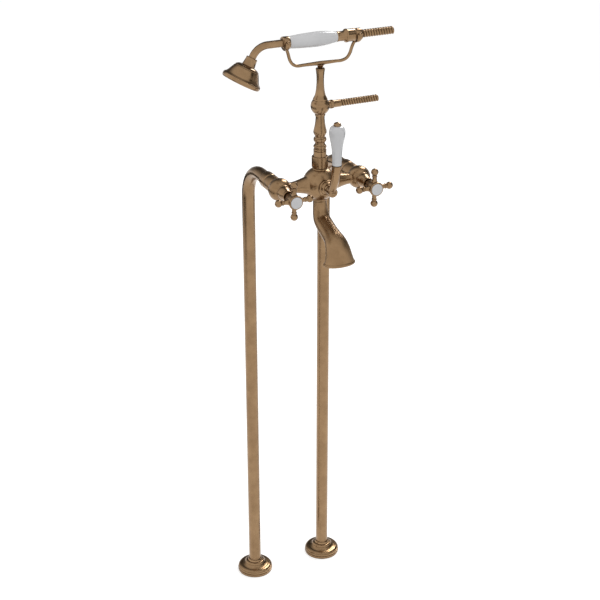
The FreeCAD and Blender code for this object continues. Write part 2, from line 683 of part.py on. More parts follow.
def cradle():
    """Swivelling bar with a saddle on each upturned end."""
    upright = Vector(0, MIX_Y, 0)
    stem = turned(
        [[(1057.0, 3.4), (1068.2, 3.4)],
         [(1068.2, 2.7), (1071.8, 2.7)],                                     # groove for the set screw
         [(1071.8, 3.4), (1078.7, 3.4)],
         [(1078.7, 3.8), (1080.5, 4.3), (1083.0, 5.8), (1085.6, 7.6)]],      # cone under the bar
        upright, Z)
    middle = turned(
        [[(-30.0, 2.7), (-14.0, 3.1), (0.0, 3.5), (14.0, 3.1), (30.0, 2.7)]],
        Vector(0, MIX_Y, BAR_Z), X)
    # The bar's ends rise, lean outwards and run into the undersides of the saddles.
    left = [Vector(-30, MIX_Y, BAR_Z), Vector(-42, MIX_Y, BAR_Z), Vector(-50.2, MIX_Y, 1091.0),
            Vector(-55.2, MIX_Y, 1098.4), Vector(-57.7, MIX_Y, 1107.0), Vector(-60.0, MIX_Y, 1114.6),
            Vector(SADDLE_LEFT + 1.8, MIX_Y, GRIP_Z - SEAT_R - 0.9)]
    right = [Vector(30, MIX_Y, BAR_Z), Vector(39, MIX_Y, BAR_Z), Vector(48.4, MIX_Y, 1090.4),
             Vector(54.0, MIX_Y, 1097.6), Vector(57.0, MIX_Y, 1106.0), Vector(60.0, MIX_Y, 1113.0),
             Vector(SADDLE_RIGHT - 3.2, MIX_Y, GRIP_Z - SEAT_R - 1.3)]
    body = stem.fuse(middle)
    for points, outwards in ((left, X * -1), (right, X)):
        line = Part.BSplineCurve()
        line.interpolate(points, InitialTangent=outwards, FinalTangent=points[-1] - points[-2])
        path = Part.Wire([line.toShape()])
        body = body.fuse(swept(path, 2.7))
    for x in (SADDLE_LEFT, SADDLE_RIGHT):
        seat = rod(Vector(x, MIX_Y, GRIP_Z), X, -6, 6, SEAT_R + 0.3)
        seat.rotate(Vector(x, MIX_Y, GRIP_Z), X, 140)
        body = body.fuse(saddle(x)).cut(seat)
    return body.removeSplitter()


# ---- hand shower ------------------------------------------------------------------------------------

HEAD_UP = Vector(math.sin(math.radians(HEAD_TILT)), 0, math.cos(math.radians(HEAD_TILT)))
HEAD = Vector(HEAD_X, MIX_Y, HEAD_Z)
GRIP = Vector(0, MIX_Y, GRIP_Z)


def head_bell():
    """Flared bell with a rim band, a domed shoulder and a threaded nipple."""
    outside = turned(
        [[(-3.6, 31.2), (-3.0, 32.2)],
         [(-3.0, 32.2), (-1.4, 33.1), (1.0, 33.4), (3.4, 33.0)],             # rim band
         [(3.4, 32.2), (5.2, 30.8), (7.4, 28.9), (10.4, 27.1), (14.3, 25.1), (18.5, 23.0),
          (22.0, 21.0), (24.2, 19.6)],                                       # flare
         [(24.2, 19.6), (25.6, 18.3), (26.6, 15.4), (26.9, 11.8)],           # shoulder
         [(26.9, 8.0), (34.0, 8.0)]],                                        # nipple inside the neck nut
        HEAD, HEAD_UP)
    inside = turned(
        [[(-4.0, 29.6), (-1.2, 29.6)],
         [(-1.2, 28.6), (0.3, 28.6)],
         [(0.3, 27.6), (3.0, 27.4), (7.4, 26.0), (14.3, 22.6), (20.0, 19.4), (23.6, 14.6), (24.4, 9.0)],
         [(24.4, 4.8), (35.0, 4.8)]],
        HEAD, HEAD_UP)
    return outside.cut(inside).removeSplitter()


def face_seal():
    return ring(HEAD, HEAD_UP, -1.2, 0.3, 28.6, 26.4)


def head_face():
    """Round spray plate with rings of small holes and a middle screw hole."""
    plate = rod(HEAD, HEAD_UP, -3.2, -1.2, 29.6)
    across = Y.cross(HEAD_UP)
    for ring_r, count in ((7.0, 8), (12.5, 14), (18.0, 20), (23.5, 26)):
        for index in range(count):
            turn = 2 * math.pi * index / count
            place = HEAD + across * (ring_r * math.cos(turn)) + Y * (ring_r * math.sin(turn))
            plate = plate.cut(rod(place, HEAD_UP, -4.0, 0.0, 0.7))
    return plate.fuse(rod(HEAD, HEAD_UP, -3.9, -3.2, 3.2)).removeSplitter()


def neck_nut():
    nut = turned(
        [[(26.9, 10.7), (28.4, 10.9), (30.0, 10.5)],
         [(30.0, 10.5), (38.6, 9.4)],
         [(38.6, 9.4), (40.4, 9.5), (41.4, 8.6)]],
        HEAD, HEAD_UP)
    nut = nut.cut(rod(HEAD, HEAD_UP, 26.0, 38.0, 8.0))
    return nut.cut(rod(HEAD, HEAD_UP, 38.0, 42.0, HANDSET_TUBE_R))


def neck_washer():
    return ring(HEAD, HEAD_UP, 34.0, 35.8, 7.9, 4.8)


def handset_tube():
    """Bent tube from the neck, through the porcelain, to the connector."""
    start = HEAD + HEAD_UP * 35.8
    rise = (GRIP_Z - HEAD_Z) / HEAD_UP.z
    corner = HEAD + HEAD_UP * rise
    bend_in, middle, bend_out = bend(corner, HEAD_UP, X, 30.0)
    end = Vector(44.0, MIX_Y, GRIP_Z)
    path = Part.Wire([Part.makeLine(start, bend_in), arc(bend_in, middle, bend_out),
                      Part.makeLine(bend_out, end)])
    tube = swept(path, HANDSET_TUBE_R)
    tube = tube.fuse(rod(HEAD, HEAD_UP, 35.8, 38.0, 7.9))
    bore = swept(path, HANDSET_BORE)
    return tube.cut(bore).removeSplitter()


def grip_ferrule():
    """Brass ferrule at the head end of the porcelain; it lies in the left saddle."""
    ferrule = turned(
        [[(-68.6, 7.6), (-67.9, 8.4)],
         [(-67.9, 8.4), (-59.4, 9.3)],
         [(-59.4, SEAT_R), (-58.6, SEAT_R)],
         [(-58.6, 10.4), (-57.0, 10.0)]],
        GRIP, X)
    seat = rod(GRIP, X, -67.9, -59.4, SEAT_R)
    return ferrule.fuse(seat).cut(rod(GRIP, X, -70, -50, HANDSET_TUBE_R)).removeSplitter()


def handset_grip():
    """Porcelain grip, thickest a little right of its middle."""
    grip = turned(
        [[(-57.0, 9.6), (-56.5, 10.0)],
         [(-56.5, 10.0), (-48.0, 10.8), (-38.0, 11.5), (-24.0, 12.1), (-8.0, 12.5), (2.0, 12.2),
          (14.0, 10.9), (24.0, 9.1), (28.4, 8.5)]],
        GRIP, X)
    return grip.cut(rod(GRIP, X, -60, 30, HANDSET_TUBE_R))


def grip_connector():
    """Waisted ferrule and wide collar at the hose end; it lies in the right saddle."""
    body = turned(
        [[(28.4, 8.5), (29.6, 8.8), (31.0, 8.5)],
         [(31.0, 8.5), (36.0, 8.2), (41.6, 8.5)],
         [(41.6, 8.5), (43.4, 9.6), (44.6, 10.6)],
         [(44.6, 11.0), (46.6, 11.4), (48.6, 11.0)],                         # bead
         [(48.6, SEAT_R), (61.4, SEAT_R)],
         [(61.4, 8.0), (68.0, 8.0)]],
        GRIP, X)
    body = body.cut(rod(GRIP, X, 20.0, 44.0, HANDSET_TUBE_R))
    return body.cut(rod(GRIP, X, 44.0, 70.0, HANDSET_BORE))


def hose_nut():
    """Cap nut that joins the hose to the hand shower."""
    nut = turned(
        [[(61.4, 9.9), (62.0, 10.3)],
         [(62.0, 10.3), (72.4, 10.3)],
         [(72.4, 10.3), (74.4, 9.0), (76.0, 7.3)]],
        GRIP, X)
    nut = nut.cut(rod(GRIP, X, 60.0, 68.0, 8.0))
    return nut.cut(rod(GRIP, X, 68.0, 78.0, 4.6))


# ---- write one STEP file for each node -------------------------------------------------------------

os.makedirs("parts", exist_ok=True)

for name, x in (("left", -LEG_X), ("right", LEG_X)):
    export(floor_anchor(x), "floor_anchor_" + name)
    export(floor_flange(x), "floor_flange_" + name)
    export(leg_tube(x), "leg_tube_" + name)
    export(union_nut(x), "union_nut_" + name)
    export(valve_seat(x), "valve_seat_" + name)
    export(valve_disc(x), "valve_disc_" + name)
    export(valve_spindle(x), "valve_spindle_" + name)
    export(valve_cartridge(x), "valve_cartridge_" + name)
    export(spindle_seal(x), "spindle_seal_" + name)
    export(valve_bonnet(x), "valve_bonnet_" + name)
    export(valve_handle(x), "valve_handle_" + name)
    export(handle_screw(x), "handle_screw_" + name)
    export(index_disc(x), "index_disc_" + name)

export(leg_grubs(), "leg_grubs")
export(union_washers(), "union_washers")
export(mixer_body(), "mixer_body")
export(diverter_plug(), "diverter_plug")
export(diverter_seal(), "diverter_seal")
export(diverter_bonnet(), "diverter_bonnet")
export(diverter_lever(), "diverter_lever")
export(diverter_screw(), "diverter_screw")
export(lever_grip(), "lever_grip")
export(lever_rod(), "lever_rod")
export(spout(), "spout")
export(spout_seal(), "spout_seal")
export(riser_nut(), "riser_nut")
export(riser_washer(), "riser_washer")
export(riser_column(), "riser_column")
export(riser_ball(), "riser_ball")
export(cradle_post(), "cradle_post")
export(cradle_grub(), "cradle_grub")
export(outlet_ferrule(), "outlet_ferrule")
export(outlet_hose(), "outlet_hose")
export(outlet_liner(), "outlet_liner")
export(cradle(), "cradle")
export(head_bell(), "head_bell")
export(face_seal(), "face_seal")
export(head_face(), "head_face")
export(neck_nut(), "neck_nut")
export(neck_washer(), "neck_washer")
export(handset_tube(), "handset_tube")
export(grip_ferrule(), "grip_ferrule")
export(handset_grip(), "handset_grip")
export(grip_connector(), "grip_connector")
export(hose_nut(), "hose_nut")
export(handset_hose(), "handset_hose")
export(handset_liner(), "handset_liner")
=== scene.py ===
import math

import bmesh
import bpy
from mathutils import Matrix, Vector


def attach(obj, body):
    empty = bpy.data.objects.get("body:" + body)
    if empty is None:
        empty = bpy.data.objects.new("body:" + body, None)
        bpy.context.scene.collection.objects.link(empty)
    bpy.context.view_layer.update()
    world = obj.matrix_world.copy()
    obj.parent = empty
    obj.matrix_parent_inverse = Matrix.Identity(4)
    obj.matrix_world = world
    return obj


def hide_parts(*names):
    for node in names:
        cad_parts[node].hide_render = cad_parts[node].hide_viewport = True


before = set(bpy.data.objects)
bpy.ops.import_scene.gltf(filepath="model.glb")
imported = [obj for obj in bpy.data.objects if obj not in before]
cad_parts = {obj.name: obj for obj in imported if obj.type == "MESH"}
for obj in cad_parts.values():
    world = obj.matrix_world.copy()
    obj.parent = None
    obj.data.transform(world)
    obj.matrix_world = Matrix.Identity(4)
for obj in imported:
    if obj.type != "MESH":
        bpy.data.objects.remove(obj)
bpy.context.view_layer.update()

# Floor standing bath filler with a hand shower: two leg pipes carry a valve mixer with a
# swan-neck spout and a riser, and a swivelling cradle on the riser holds the hand shower.
# Sizes are in millimetres along each piece's own axis; meshes are in metres, front towards -Y.


# ---- floor plates ------------------------------------------------------------------------
# A brass plate with a spigot is screwed to the floor under each leg, and a small steel set
# screw pins the leg to it. Both stay out of sight under the flanges, as sawn and turned metal.

MM = 0.001
CORNER_REACH = 0.003    # metres from a wall within which a spot counts as a corner
CORNER_RAYS = 12
SHADIEST_AND_DIRTIEST = 0.15         # how open a spot is where its painted shade and dirt are thickest
WEAR_GRAIN = 2.7        # patches of wear for each cloud of tone
BUMP_GRAIN = 22         # bumps for each cloud of tone
LACQUER_GLOSS = 0.12


def shader_link(nodes, links, kind, inputs, settings=()):
    """One shader node with its values and links set."""
    node = nodes.new(kind)
    for key, value in settings:
        setattr(node, key, value)
    for key, value in inputs.items():
        if isinstance(value, bpy.types.NodeSocket):
            links.new(value, node.inputs[key])
        else:
            node.inputs[key].default_value = value
    return node


def finish_coat(name, light, dark, shade_and_dirt, metallic, gloss, coat=0.0, grain=40.0,
                relief=0.009, pit=0.35, shelter=0.62):
    """A finish that clouds between two tones, dulls in patches and darkens in its corners with
    painted shade and dirt.

    Gloss is the roughness of its polished and of its handled patches, coat the strength of
    its lacquer, grain the number of clouds to the metre, relief the bump in millimetres, pit
    how much corners darken with painted shade and dirt, and shelter how open a spot may be
    and still be darkened.
    """
    material = bpy.data.materials.new(name)
    material.use_nodes = True
    nodes, links = material.node_tree.nodes, material.node_tree.links
    shader = nodes["Principled BSDF"]
    place = nodes.new("ShaderNodeTexCoord").outputs["Object"]

    def cloud(scale, detail):
        return shader_link(nodes, links, "ShaderNodeTexNoise",
                           {"Vector": place, "Scale": scale, "Detail": detail,
                            "Roughness": 0.6}).outputs["Fac"]

    def ramp(value, low, high, start=0.35, end=0.65):
        return shader_link(nodes, links, "ShaderNodeMapRange",
                           {"Value": value, "From Min": start, "From Max": end,
                            "To Min": low, "To Max": high}).outputs["Result"]

    def mix(amount, first, second):
        node = nodes.new("ShaderNodeMix")
        node.data_type = "RGBA"
        links.new(amount, node.inputs["Factor"])
        for socket, colour in ((node.inputs[6], first), (node.inputs[7], second)):
            if isinstance(colour, bpy.types.NodeSocket):
                links.new(colour, socket)
            else:
                socket.default_value = (*colour, 1)
        return node.outputs[2]

    tone = mix(ramp(cloud(grain, detail=6), 0, 1), light, dark)
    # Spots hemmed in by nearby surfaces take the dark colour: painted shade in corners, creases
    # and between parts, with dirt.
    corner = nodes.new("ShaderNodeAmbientOcclusion")
    corner.inputs["Distance"].default_value = CORNER_REACH
    corner.samples = CORNER_RAYS
    shaded_and_soiled = ramp(corner.outputs["AO"], pit, 0, SHADIEST_AND_DIRTIEST, shelter)
    links.new(mix(shaded_and_soiled, tone, shade_and_dirt), shader.inputs["Base Color"])
    worn = cloud(grain * WEAR_GRAIN, detail=4)
    links.new(ramp(worn, *gloss), shader.inputs["Roughness"])
    shader.inputs["Metallic"].default_value = metallic
    shader.inputs["Coat Weight"].default_value = coat
    shader.inputs["Coat Roughness"].default_value = LACQUER_GLOSS
    bump = shader_link(nodes, links, "ShaderNodeBump",
                       {"Height": cloud(grain * BUMP_GRAIN, detail=3), "Distance": relief * MM,
                        "Strength": 0.5})
    links.new(bump.outputs["Normal"], shader.inputs["Normal"])
    return material


RAW_BRASS = finish_coat("raw turned brass", (0.50, 0.36, 0.15), (0.38, 0.26, 0.10),
                        (0.05, 0.035, 0.015), metallic=1.0, gloss=(0.28, 0.42), grain=120)
STEEL = finish_coat("plain screw steel", (0.50, 0.49, 0.47), (0.38, 0.37, 0.36),
                    (0.05, 0.045, 0.04), metallic=1.0, gloss=(0.28, 0.40), grain=200)


def refinish(material, *names):
    """Give pieces of the frame that keep their shape their finish."""
    for name in names:
        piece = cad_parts[name]
        piece.data.materials.clear()
        piece.data.materials.append(material)


refinish(RAW_BRASS, "floor_anchor_left", "floor_anchor_right")
refinish(STEEL, "leg_grubs")


# ---- floor flanges -----------------------------------------------------------------------
# A turned brass cover drops over each leg onto the floor: a plain foot, a roll with a groove
# under and over it, a rounded shoulder and a hollow, then two small rings at the tube. Its
# brass is coloured dark and rubbed back. It hides the plate and its screws.

Z = Vector((0, 0, 1))
SIDES = (("left", -1), ("right", 1))
LEG_X = 75.0
LEG_R = 11.75
LEG_HOLE = LEG_R + 0.05
MERGE = 0.002           # corners nearer than this are one
SHORTEST = 1e-6         # a gap between stations is never taken as less
SMOOTH_UP_TO = 38       # degrees between faces that look like one rounded face
BRONZE_LIGHT = (0.304, 0.192, 0.101)
BRONZE_DARK = (0.245, 0.151, 0.077)
# The colour that bronze corners darken to: painted shade, with dirt.
BRONZE_SHADE_AND_GRIME = (0.022, 0.014, 0.008)
BRONZE = finish_coat("turned antique bronze", BRONZE_LIGHT, BRONZE_DARK, BRONZE_SHADE_AND_GRIME,
                     metallic=1.0, gloss=(0.21, 0.29), coat=0.15, pit=0.82, shelter=0.88)


def through(points, steps=6):
    """Finer stations on the smooth line through some stations.

    The first two values of a station are its place, and any others change along with them.
    """
    gaps = [max(math.dist(a[:2], b[:2]), SHORTEST) for a, b in zip(points, points[1:])]
    inner = [[(c - a) / (g + h) for a, c in zip(first, last)]
             for first, last, g, h in zip(points, points[2:], gaps, gaps[1:])]

    def end_slope(first, second, gap, near):
        return [2 * (b - a) / gap - n for a, b, n in zip(first, second, near)]

    slopes = [end_slope(points[0], points[1], gaps[0], inner[0]), *inner,
              end_slope(points[-2], points[-1], gaps[-1], inner[-1])]
    fine = []
    for index, gap in enumerate(gaps):
        for step in range(steps):
            t = step / steps
            fine.append(tuple(
                (2 * t**3 - 3 * t**2 + 1) * a + (t**3 - 2 * t**2 + t) * gap * m
                + (3 * t**2 - 2 * t**3) * b + (t**3 - t**2) * gap * n
                for a, b, m, n in zip(points[index], points[index + 1],
                                      slopes[index], slopes[index + 1])))
    return fine + [tuple(points[-1])]


def soften(bm, size, sharpest=0.5):
    """Round the edges of a shape that turn by more than the sharpest angle left alone."""
    bmesh.ops.remove_doubles(bm, verts=bm.verts, dist=MERGE * MM)
    bmesh.ops.recalc_face_normals(bm, faces=bm.faces)
    corners = [e for e in bm.edges if len(e.link_faces) == 2 and e.calc_face_angle(0) > sharpest]
    bmesh.ops.bevel(bm, geom=corners, offset=size * MM, offset_type="OFFSET", segments=2,
                    profile=0.5, affect="EDGES", clamp_overlap=True, material=-1)


def turned(base, along, runs, bore=(), edge=0.2, facets=96):
    """A shape turned on a lathe round the line from base along a direction.

    Each run holds (distance along the line, radius): two stay straight and more give a curve.
    The bore holds straight runs for the inner wall; without one the shape is solid. Edge is
    how far its corners are rounded, and facets how many flats go round it.
    """
    along = Vector(along).normalized()
    base = Vector(base) * MM
    outwards = along.orthogonal().normalized()
    outline = [station for run in runs for station in (run if len(run) == 2 else through(run))]
    wall = [station for run in bore for station in run]
    if wall:
        outline += wall[::-1]
    else:
        outline = [(outline[0][0], 0), *outline, (outline[-1][0], 0)]
    bm = bmesh.new()
    verts = [bm.verts.new(base + (along * at + outwards * radius) * MM) for at, radius in outline]
    edges = [bm.edges.new(pair) for pair in zip(verts, verts[1:])]
    if wall:
        edges.append(bm.edges.new((verts[-1], verts[0])))
    bmesh.ops.spin(bm, geom=verts + edges, cent=base, axis=along, dvec=(0, 0, 0),
                   angle=2 * math.pi, steps=facets, use_merge=True, use_normal_flip=False,
                   use_duplicate=False)
    soften(bm, edge)
    return bm


def keep(bm, name, material, body):
    """Make a shape a finished piece that rides a body in place of the frame's node."""
    mesh = bpy.data.meshes.new(name)
    bmesh.ops.recalc_face_normals(bm, faces=bm.faces)
    for face in bm.faces:
        face.smooth = True
    bm.to_mesh(mesh)
    bm.free()
    mesh.set_sharp_from_angle(angle=math.radians(SMOOTH_UP_TO))
    mesh.materials.append(material)
    piece = bpy.data.objects.new(name, mesh)
    bpy.context.scene.collection.objects.link(piece)
    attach(piece, body)
    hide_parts(name)


for side, sign in SIDES:
    flange = turned((LEG_X * sign, 0, 0), Z,
                    [[(0, 34.5), (4.7, 34.5)],
                     [(4.9, 33.4), (5.5, 33.4)],
                     [(5.6, 33.9), (7.4, 34.1), (9.0, 33.4)],
                     [(9.2, 32.6), (9.6, 32.4)],
                     [(9.6, 32.9), (11.2, 31.4), (12.3, 29.0), (12.9, 26.4)],
                     [(12.9, 26.4), (13.5, 24.2), (15.2, 20.8), (17.2, 18.6)],
                     [(17.4, 19.2), (18.6, 19.2), (20.6, 17.6), (21.4, 15.4)],
                     [(21.4, 14.2), (22.2, 14.6), (24.2, 13.9), (25.6, 12.6)]],
                    [[(0, 32.0), (6.0, 32.0)], [(10.0, 26.0), (15.0, 17.5)],
                     [(18.5, 13.2), (18.5, LEG_HOLE)], [(25.6, LEG_HOLE), (25.6, 12.5)]],
                    facets=128)
    keep(flange, "floor_flange_" + side, BRONZE, "frame")


# ---- legs --------------------------------------------------------------------------------
# Each leg is one drawn brass tube, bent forward at the top, and carries the water from the
# floor to the mixer. It slips over the floor plate's spigot.

X, FRONT = Vector((1, 0, 0)), Vector((0, -1, 0))
AXIS_Z = 875.7          # height of the line through both valves
LEG_FOOT = 4.0
LEG_BEND = 61.0
LEG_REACH = 90.0
LEG_WALL = 1.5


def corners_of(edges):
    return sorted({v for e in edges for v in e.verts}, key=lambda v: v.index)


def far_end(made):
    """The corners and the edges at the far end of a skin just drawn out."""
    verts = [part for part in made if isinstance(part, bmesh.types.BMVert)]
    ends = set(verts)
    return verts, [part for part in made
                   if isinstance(part, bmesh.types.BMEdge) and set(part.verts) <= ends]


def open_ring(bm, centre, along, radius, count=72):
    """An empty hoop square to a direction."""
    turn = Z.rotation_difference(Vector(along)).to_matrix().to_4x4()
    made = bmesh.ops.create_circle(bm, cap_ends=False, segments=count, radius=radius * MM,
                                   matrix=Matrix.Translation(Vector(centre) * MM) @ turn)
    return sorted({e for v in made["verts"] for e in v.link_edges}, key=lambda e: e.index)


def drawn_on(bm, hoop, move):
    """Carry a hoop straight on, leaving tube behind it."""
    verts, hoop = far_end(bmesh.ops.extrude_edge_only(bm, edges=hoop)["geom"])
    bmesh.ops.translate(bm, verts=verts, vec=Vector(move) * MM)
    return hoop


def bent_on(bm, hoop, centre, axis, angle, steps=28):
    """Carry a hoop round a bend."""
    last = bmesh.ops.spin(bm, geom=corners_of(hoop) + hoop, cent=Vector(centre) * MM, axis=axis,
                          dvec=(0, 0, 0), angle=angle, steps=steps, use_merge=False,
                          use_duplicate=False)["geom_last"]
    return [part for part in last if isinstance(part, bmesh.types.BMEdge)]


def walled(bm, wall):
    """Give an open tube its wall, inwards."""
    bmesh.ops.remove_doubles(bm, verts=bm.verts, dist=MERGE * MM)
    bmesh.ops.recalc_face_normals(bm, faces=bm.faces)
    bmesh.ops.solidify(bm, geom=list(bm.faces), thickness=wall * MM)


for side, sign in SIDES:
    leg = bmesh.new()
    top = AXIS_Z - LEG_BEND
    hoop = open_ring(leg, (LEG_X * sign, 0, LEG_FOOT), Z, LEG_R)
    hoop = drawn_on(leg, hoop, Z * (top - LEG_FOOT))
    hoop = bent_on(leg, hoop, (LEG_X * sign, -LEG_BEND, top), X, math.pi / 2)
    drawn_on(leg, hoop, FRONT * (LEG_REACH - LEG_BEND))
    walled(leg, LEG_WALL)
    keep(leg, "leg_tube_" + side, BRONZE, "frame")


# ---- union nuts and washers --------------------------------------------------------------
# A round nut, turned from brass, screws onto the mixer's boss and pulls the leg's end against
# it over a black rubber washer.

RUBBER = finish_coat("black seal rubber", (0.022, 0.022, 0.022), (0.014, 0.014, 0.014),
                     (0.006, 0.006, 0.006), metallic=0.0, gloss=(0.48, 0.62), grain=150,
                     relief=0.04)

for side, sign in SIDES:
    nut = turned((LEG_X * sign, 0, AXIS_Z), FRONT,
                 [[(82.6, 12.9), (84.6, 14.2), (87.0, 14.6)],
                  [(87.0, 14.6), (101.0, 14.6)],
                  [(101.0, 14.6), (102.8, 14.1), (103.6, 13.4)]],
                 [[(82.6, LEG_HOLE), (87.5, LEG_HOLE)], [(87.5, 12.92), (103.6, 12.92)]])
    keep(nut, "union_nut_" + side, BRONZE, "frame")
refinish(RUBBER, "union_washers")


# ---- mixer -------------------------------------------------------------------------------
# One brass casting: a middle bulb, tapered arms and two valve balls, with turned bosses for
# the unions, the diverter, the riser and the spout. Cast fillets run into balls and bulb.

MIX_Y = -141.4
BULB_R = 29.6
BULB_FLAT = 25.4        # from the bulb's middle to the flat faced on its front
VALVE_BALL_R = 19.9
CAST_FILLET = 1.6
SEAM = 0.004            # corners nearer than this close up in spun and fused shapes
HAIR = 0.01             # anything nearer than this lies on the spot


def round_arc(centre, radius, first, last, steps):
    """Stations on a round outline, between two angles in degrees from the axis."""
    angles = [math.radians(first + (last - first) * step / steps) for step in range(steps + 1)]
    return [(centre + radius * math.cos(a), radius * math.sin(a)) for a in angles]


def as_object(bm, name):
    mesh = bpy.data.meshes.new(name)
    bm.to_mesh(mesh)
    bm.free()
    piece = bpy.data.objects.new(name, mesh)
    bpy.context.scene.collection.objects.link(piece)
    return piece


def everything(bm):
    return list(bm.verts) + list(bm.edges) + list(bm.faces)


def close_seams(bm):
    bmesh.ops.remove_doubles(bm, verts=bm.verts, dist=SEAM * MM)


def fused(shapes):
    """Run overlapping shapes into one skin."""
    blanks = [as_object(shape, "blank") for shape in shapes]
    for other in blanks[1:]:
        weld = blanks[0].modifiers.new("weld", "BOOLEAN")
        weld.operation = "UNION"
        weld.solver = "EXACT"
        weld.object = other
    bpy.context.view_layer.update()
    seen = blanks[0].evaluated_get(bpy.context.evaluated_depsgraph_get())
    bm = bmesh.new()
    bm.from_mesh(seen.to_mesh())
    seen.to_mesh_clear()
    for blank in blanks:
        mesh = blank.data
        bpy.data.objects.remove(blank)
        bpy.data.meshes.remove(mesh)
    close_seams(bm)
    return bm


def mixer_bar():
    """Balls, arms and bulb turned about the line through both valves."""
    ball = round_arc(LEG_X, VALVE_BALL_R, first=0, last=150, steps=30)
    arm = through([(57.7, 9.9), (54.0, 9.6), (46.0, 10.4), (37.0, 12.3), (25.4, 15.3)], steps=5)
    bulb = round_arc(0, BULB_R, first=31.2, last=90, steps=16)
    outline = ball + arm + bulb
    bm = bmesh.new()
    centre = Vector((0, MIX_Y, AXIS_Z)) * MM
    verts = [bm.verts.new(centre + Vector((at, 0, radius)) * MM) for at, radius in outline]
    edges = [bm.edges.new(pair) for pair in zip(verts, verts[1:])]
    bmesh.ops.spin(bm, geom=verts + edges, cent=centre, axis=X, dvec=(0, 0, 0),
                   angle=2 * math.pi, steps=112, use_merge=True, use_duplicate=False)
    close_seams(bm)
    bmesh.ops.mirror(bm, geom=everything(bm), axis="X", merge_dist=HAIR * MM)
    close_seams(bm)
    soften(bm, CAST_FILLET, sharpest=0.3)
    front_face = MIX_Y - BULB_FLAT
    bmesh.ops.bisect_plane(bm, geom=everything(bm), plane_co=(0, front_face * MM, 0),
                           plane_no=(0, -1, 0), clear_outer=True)
    bmesh.ops.holes_fill(bm, edges=[e for e in bm.edges if e.is_boundary])
    return bm


# The same bronze, but a cast skin is never as glossy as a turned one.
CAST_BRONZE = finish_coat("cast antique bronze", BRONZE_LIGHT, BRONZE_DARK, BRONZE_SHADE_AND_GRIME,
                          metallic=1.0, gloss=(0.27, 0.35), coat=0.1, pit=0.82, shelter=0.88)
HUB_Z = AXIS_Z + 0.3    # height of the diverter's axis
casting = [mixer_bar()]
for side, sign in SIDES:
    casting.append(turned((LEG_X * sign, 0, AXIS_Z), FRONT,
                          [[(92.0, 12.9), (103.6, 12.9)],
                           [(103.6, 13.6), (105.0, 14.3), (108.0, 14.6)],
                           [(108.0, 14.6), (126.0, 14.6)],
                           [(127.4, 14.0), (127.4, 13.4)],
                           [(127.4, 13.4), (138.0, 13.4)]]))
casting.append(turned((0, MIX_Y, 0), Z,
                      [[(AXIS_Z, 12.8), (901.2, 12.8)],
                       [(901.2, 12.8), (902.6, 13.2), (904.2, 12.8)],
                       [(905.2, 11.6), (914.0, 11.6)]]))
casting.append(turned((0, MIX_Y, 0), Z,
                      [[(845.4, 11.6), (845.6, 12.5)],
                       [(845.6, 12.5), (847.0, 13.0), (849.0, 12.7)],
                       [(849.0, 12.7), (AXIS_Z, 12.7)]]))
casting.append(turned((0, 0, HUB_Z), FRONT, [[(150.0, 13.4), (168.6, 13.4)]]))
keep(fused(casting), "mixer_body", CAST_BRONZE, "frame")


# ---- inside the valves -------------------------------------------------------------------
# Quarter-turn headwork: a fixed and a turning ceramic disc, ground flat, and a steel spindle
# with a rubber seal, in a turned brass body screwed into the valve ball.

CERAMIC = finish_coat("polished disc ceramic", (0.74, 0.73, 0.70), (0.66, 0.65, 0.62),
                      (0.28, 0.26, 0.22), metallic=0.0, gloss=(0.10, 0.18), grain=180)

for side, sign in SIDES:
    refinish(CERAMIC, "valve_seat_" + side, "valve_disc_" + side)
    refinish(STEEL, "valve_spindle_" + side, "handle_screw_" + side)
    refinish(RAW_BRASS, "valve_cartridge_" + side)
    refinish(RUBBER, "spindle_seal_" + side)


# ---- valve bonnets -----------------------------------------------------------------------
# A domed brass cover screws down over each valve's headwork, with a bead where it meets the
# ball and a small rim round its mouth, where the handle's sleeve turns.

for side, sign in SIDES:
    bonnet = turned((LEG_X * sign, 0, AXIS_Z), FRONT,
                    [[(155.4, 12.9), (157.0, 13.1), (158.6, 12.6)],
                     [(158.6, 12.0), (163.0, 11.6), (168.0, 10.3), (172.5, 8.9)],
                     [(172.5, 8.9), (174.2, 8.7)],
                     [(174.2, 9.2), (176.0, 9.7), (177.8, 9.2)]],
                    [[(155.4, 11.3), (161.0, 11.3)], [(161.0, 9.4), (166.0, 9.4)],
                     [(166.0, 8.0), (177.8, 8.0)]])
    keep(bonnet, "valve_bonnet_" + side, BRONZE, "frame")


# ---- four-armed handles ------------------------------------------------------------------
# Each handle is cast brass: a turned hub with a cup at its front and four slim arms, every
# one with a bead and an end ball. Its sleeve runs in the bonnet and a screw holds it.

HANDLE_Y = -200.7
ARM_BALL_AT = 28.4
ARM_BALL_R = 6.4


def handle_arm(hub, direction):
    """One arm from the hub outwards: a waisted stem, a bead and an end ball."""
    ball = round_arc(ARM_BALL_AT, ARM_BALL_R, first=144.7, last=0, steps=18)
    return turned(hub, direction,
                  [[(4.0, 6.0), (10.0, 5.2), (14.0, 4.2), (17.6, 3.8), (19.4, 3.8)],
                   [(19.4, 3.8), (19.8, 4.4), (20.8, 4.7), (21.8, 4.3)],
                   [(21.8, 3.7), ball[0]], *[list(pair) for pair in zip(ball, ball[1:])]],
                  edge=0.12, facets=48)


